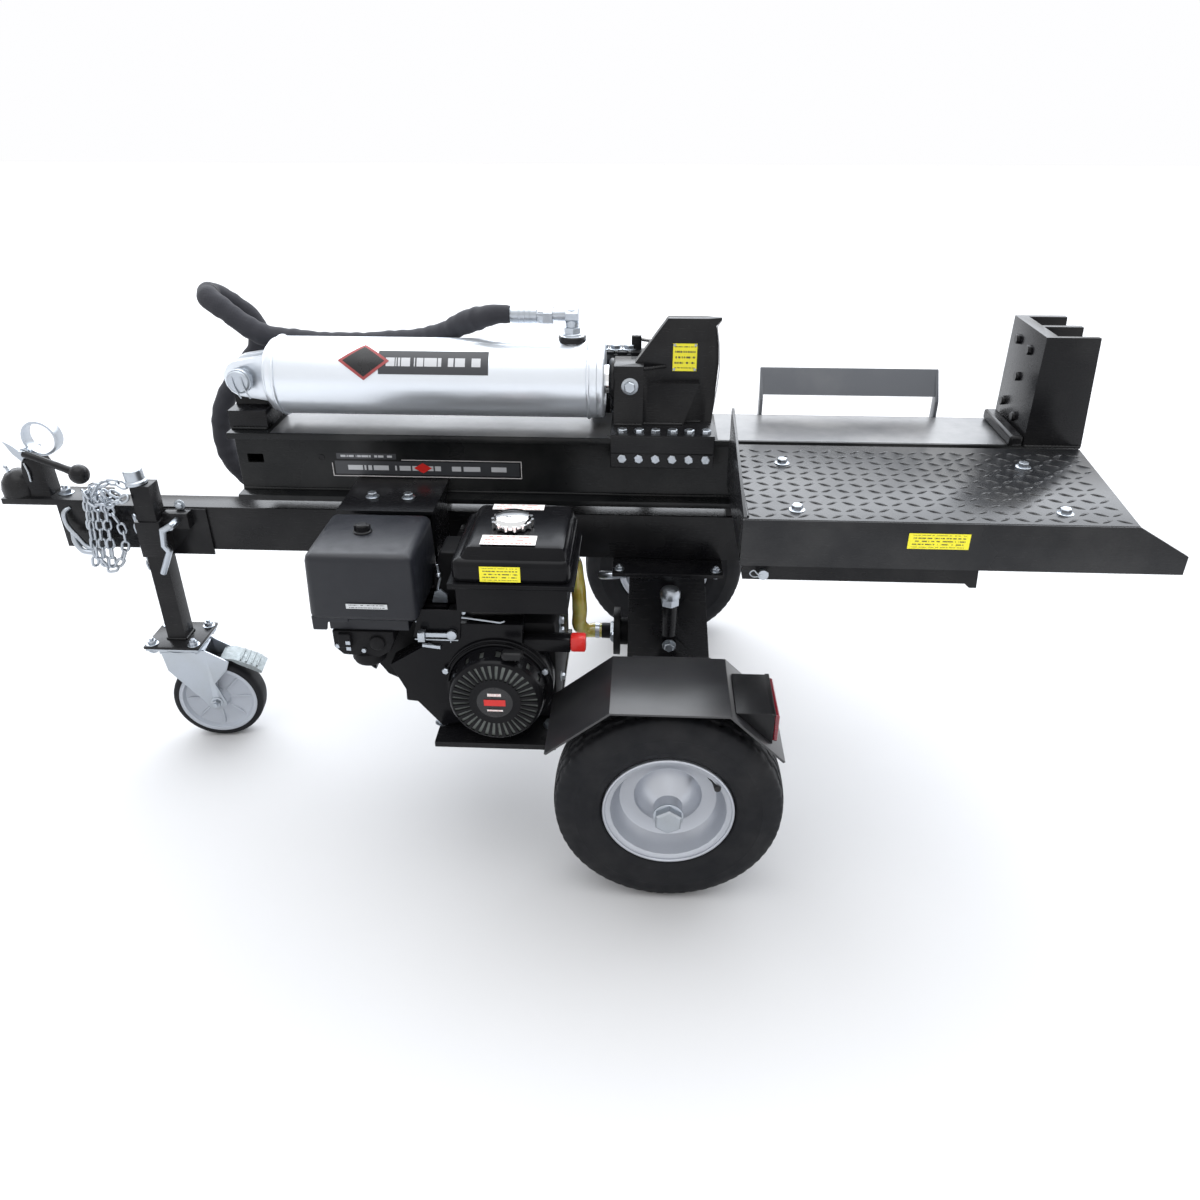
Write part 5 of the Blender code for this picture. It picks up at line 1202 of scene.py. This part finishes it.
def engine():
    with Piece("head_fins", "chassis", CAST) as made:
        for number in range(9):
            y = -0.343 + 0.0235 * number
            made.prism([(-0.4133, 0.326), (-0.458, 0.336), (-0.527, 0.371), (-0.564, 0.428),
                (-0.564, 0.485), (-0.525, 0.504), (-0.4133, 0.504)], "Y", y, y + 0.0045)
    with Piece("rocker_cover", "chassis", ENGINE, 0.006) as made:
        made.prism([(-0.5560, 0.362), (-0.5800, 0.384), (-0.5940, 0.440), (-0.5560, 0.474)], "Y", -0.325,
            -0.185)
    with Piece("engine_bolts", "chassis", ZINC) as made:
        for x, z in ((-0.2085, 0.470), (-0.2085, 0.449), (-0.2085, 0.346)):
            made.bolt((-WHEEL_RADIUS, -0.300, z), FORWARD, 0.012, 0.007)
        for x, y in ((-0.576, -0.147), (-0.506, -0.148)):
            made.bolt((x, y, 0.6452), UP, 0.016, 0.008)
        for x, y in ((-0.425, -0.380), (-0.425, -0.140), (-0.222, -0.380), (-0.222, -0.140)):
            made.bolt((x, y, 0.289), UP, 0.016, 0.009)
        made.bolt((-0.592, -0.4052, 0.470), NEARWARD, 0.008, 0.004, False)
        for y in (-0.305, -0.205):
            for z in (0.385, 0.445):
                made.bolt((-0.5855, y, z), (-1, 0, 0.1), 0.011, 0.006)
    with Piece("carburettor_bowl", "chassis", CAST, 0.0015) as made:
        made.turned((-0.545, -0.378, 0.4465), DOWN, [(0, -0.004), (0.030, -0.004), (0.031, 0.010),
            (0.027, 0.019), (0.010, 0.022), (0, 0.022)], 32)
        made.turned((-0.520, -0.404, 0.478), NEARWARD, [(0, 0), (0.014, 0), (0.014, 0.006), (0.008, 0.010),
            (0, 0.010)], 24)
        made.box((-0.588, -0.413, 0.470), (-0.566, -0.403, 0.497))
    with Piece("carburettor_screws", "chassis", ZINC) as made:
        made.bolt((-0.545, -0.378, 0.424), DOWN, 0.008, 0.004, False)
        made.bolt((-0.604, -0.372, 0.482), REARWARD, 0.008, 0.005, False)
        made.bolt((-0.546, -0.4052, 0.462), (0.1, -1, -0.1), 0.008, 0.004, False)
        for x, z in ((-0.5705, 0.4810), (-0.5705, 0.4690)):
            made.box((x - 0.004, -0.4145, z - 0.0035), (x + 0.004, -0.4130, z + 0.0035))
    with Piece("control_rods", "chassis", ZINC) as made:
        made.tube([(-0.442, -0.4, 0.536), (-0.360, -0.402, 0.531), (-0.300, -0.404, 0.524),
            (-0.292, -0.404, 0.527)], 0.0018, 8)
        made.tube([(-0.452, -0.392, 0.516), (-0.400, -0.388, 0.522), (-0.352, -0.384, 0.520)], 0.0022, 8)
        made.tube([(-0.412, -0.36, 0.612), (-0.409, -0.36, 0.585), (-0.414, -0.362, 0.566),
            (-0.408, -0.362, 0.545)], 0.0022, 8)
        made.ball((-0.4105, -0.36, 0.592), 0.0048, 8, 12)
        made.prism([(-0.425, 0.540), (-0.398, 0.540), (-0.398, 0.556), (-0.408, 0.566), (-0.420, 0.560)],
            "Y", -0.366, -0.362)
        made.tube([(-0.388, -0.398, 0.536), (-0.388, -0.400, 0.510), (-0.390, -0.402, 0.480)], 0.0016, 8)
        made.turned((-0.364, -0.398, 0.541), NEARWARD, [(0, 0), (0.004, 0), (0.004, 0.004), (0, 0.005)], 14)
    with Piece("control_plate", "chassis", ENGINE, 0.0008) as made:
        made.prism([(-0.455, 0.492), (-0.372, 0.490), (-0.366, 0.548), (-0.440, 0.548)], "Y", -0.4060,
            -0.4034)
    with Piece("control_bracket", "chassis", ZINC, 0.0005) as made:
        made.tube([(-0.452, -0.4076, 0.489), (-0.375, -0.4076, 0.488)], 0.0016, 8)
        made.prism([(-0.440, 0.4735), (-0.408, 0.4695), (-0.408, 0.4760), (-0.440, 0.4790)], "Y", -0.4092,
            -0.4034)
    with Piece("tank_bracket", "chassis", CAST, 0.003) as made:
        made.prism([(-0.436, 0.500), (-0.384, 0.500), (-0.384, 0.606), (-0.420, 0.606), (-0.436, 0.560)],
            "Y", -0.300, -0.230)
    with Piece("air_cleaner_knob", "chassis", KNOB, 0.0015) as made:
        at = Vector((-0.5455, -0.327, 0.6565))
        made.turned(at, UP, [(0, 0), (0.017, 0), (0.016, 0.004), (0, 0.004)], 28)
        made.prism([(at.x - 0.014, at.y - 0.005), (at.x + 0.014, at.y - 0.005),
            (at.x + 0.014, at.y + 0.005), (at.x - 0.014, at.y + 0.005)], "Z", at.z + 0.004, at.z + 0.014)
        made.turned(at, UP, [(0, 0.002), (0.0105, 0.002), (0.0105, 0.013), (0.008, 0.0155), (0, 0.0155)], 20)
    with Piece("air_cleaner_skirt", "chassis", COVER, 0.003) as made:
        made.prism([(-0.6250, 0.540), (-0.6250, 0.512), (-0.600, 0.512), (-0.597, 0.528), (-0.560, 0.528),
            (-0.560, 0.540)], "Y", -0.4235, -0.4185)
    with Piece("air_cleaner_strip", "chassis", GREY_STRIP) as made:
        y = -0.4264
        made.label(-0.5595, -0.488, y, 0.5585, 0.5680)


def tank_details():
    """Rolled seam round the fuel tank, cap knurling and plain warning films."""
    rear, front, near, far, seam = -0.3825, -0.1695, -0.4275, -0.2140, 0.606
    with Piece("tank_rim", "chassis", ENGINE, smooth=60) as made:
        inset = 0.014
        corners = ((rear, near, 1, 1, 180), (front, near, -1, 1, 270), (front, far, -1, -1, 0),
            (rear, far, 1, -1, 90))
        path = []
        for x, y, across, along, first in corners:
            path += [(px, py, seam) for px, py in arc((x + across * inset, y + along * inset),
                inset - 0.0035, first, first + 90, 6)]
        made.tube(path, 0.0052, 12, True)
    with Piece("fuel_cap_rim", "tank_cap", CHROME, smooth=60) as made:
        at = middle("fuel_cap") - SHIFT
        for number in range(14):
            angle = tau * number / 14
            spot = Vector((at.x + 0.0330 * cos(angle), at.y + 0.0330 * sin(angle), 0.6825))
            made.tube([spot - Vector((0, 0, 0.0055)), spot + Vector((0, 0, 0.0045))], 0.0042, 10)
    with Piece("tank_stickers", "chassis", WHITE) as made:
        for x0, x1, y0, y1, z in ((-0.327, -0.234, -0.4040, -0.3680, 0.6744), (-0.326, -0.234, -0.2620,
                -0.2390, 0.6744)):
            made.sticker([(x0, y0, z), (x1, y0, z), (x1, y1, z), (x0, y1, z)])
    with Piece("tank_warning", "chassis", YELLOW) as made:
        y = -0.4224
        made.label(-0.327, -0.2585, y, 0.6145, 0.6430)


def suction_details():
    with Piece("hose_clamps", "chassis", ZINC, 0.0003) as made:
        for at, axis in (((-0.150, -0.035, 0.290), (1, 0, 0)), ((-0.241, 0.040, 0.415), (1, 0, 0))):
            made.collar(at, axis, 0.0156, 0.0172, -0.0045, 0.0045, 28)
            made.bolt(Vector(at) + Vector((0, -0.016, 0)), (0, -1, 0.4), 0.009, 0.006, False)
    with Piece("suction_valve", "chassis", ZINC, 0.0006) as made:
        made.tube([(-0.100, -0.035, 0.290), (-0.122, -0.035, 0.290)], 0.0215, 6)
        made.disc((-0.112, -0.056, 0.290), NEARWARD, 0.010, 0.012, 20)
    with Piece("breather_pipe", "chassis", ZINC, smooth=60) as made:
        made.tube(smooth_route([(-0.050, -0.060, 0.452), (-0.098, -0.070, 0.448), (-0.124, -0.072, 0.446),
            (-0.142, -0.060, 0.440)], 0.005), 0.0085, 14)


# ---------------------------------------------------------------- labels on the beam and barrel
def panels():
    with Piece("beam_panel", "beam_group", DARK_STRIP) as made:
        y = -0.0484
        made.label(-0.674, -0.304, y, 0.6510, 0.6790)
        made.label(-0.669, -0.549, y, 0.6830, 0.6950)
    with Piece("beam_panel_frame", "beam_group", PANEL_WHITE, smooth=60) as made:
        x0, x1, z0, z1, y = -0.679, -0.300, 0.6470, 0.6822, -0.0490
        for a, b in (((x0, z0), (x1, z0)), ((x1, z0), (x1, z1)), ((x0 + 0.14, z1), (x1, z1)),
                ((x0, z0), (x0, z1 - 0.008))):
            made.tube([(a[0], y, a[1]), (b[0], y, b[1])], 0.0009, 6)
    with Piece("beam_panel_mark", "beam_group", RED) as made:
        y = -0.0492
        made.sticker([(-0.515, y, 0.666), (-0.497, y, 0.655), (-0.479, y, 0.666), (-0.497, y, 0.677)])
    radius = 0.0746

    def on_barrel(x, angle):
        return (x, -radius * cos(angle), CYLINDER_Z + radius * sin(angle))

    with Piece("barrel_strip", "beam_group", DARK_STRIP) as made:
        angles = [radians(19 + 36 * t / 8) for t in range(9)]
        made.grid([[on_barrel(-0.560 + 0.208 * s / 12, angle) for s in range(13)] for angle in angles])

    def diamond(made, half_wide, half_turn, lift):
        steps = 8
        rows = []
        for t in range(-steps, steps + 1):
            half = half_wide * (1 - abs(t) / (steps + 0.01))
            angle = radians(38) + t / steps * radians(half_turn)
            rows.append([Vector(on_barrel(-0.588 + half * s, angle)) + Vector((0, -cos(angle),
                sin(angle))) * lift for s in (-1, -0.5, 0, 0.5, 1)])
        made.grid(rows)

    with Piece("barrel_diamond", "beam_group", PANEL_RED) as made:
        diamond(made, 0.049, 28, 0.0006)
    with Piece("barrel_diamond_core", "beam_group", DARK_LABEL) as made:
        diamond(made, 0.040, 23, 0.0011)


# ---------------------------------------------------------------- assembly
camera()
hoses()
sky()
floor()
dress_nodes()
chassis()
safety_chain()
hitch()
jockey()
for wheel_side, wheel_name in ((-1, "near"), (1, "far")):
    tyre(wheel_side, wheel_name)
    rim(wheel_side, wheel_name)
lamps()
beam()
cylinder_fittings()
wedge_parts()
valve()
table()
engine()
recoil_cover()
tank_details()
suction_details()
panels()
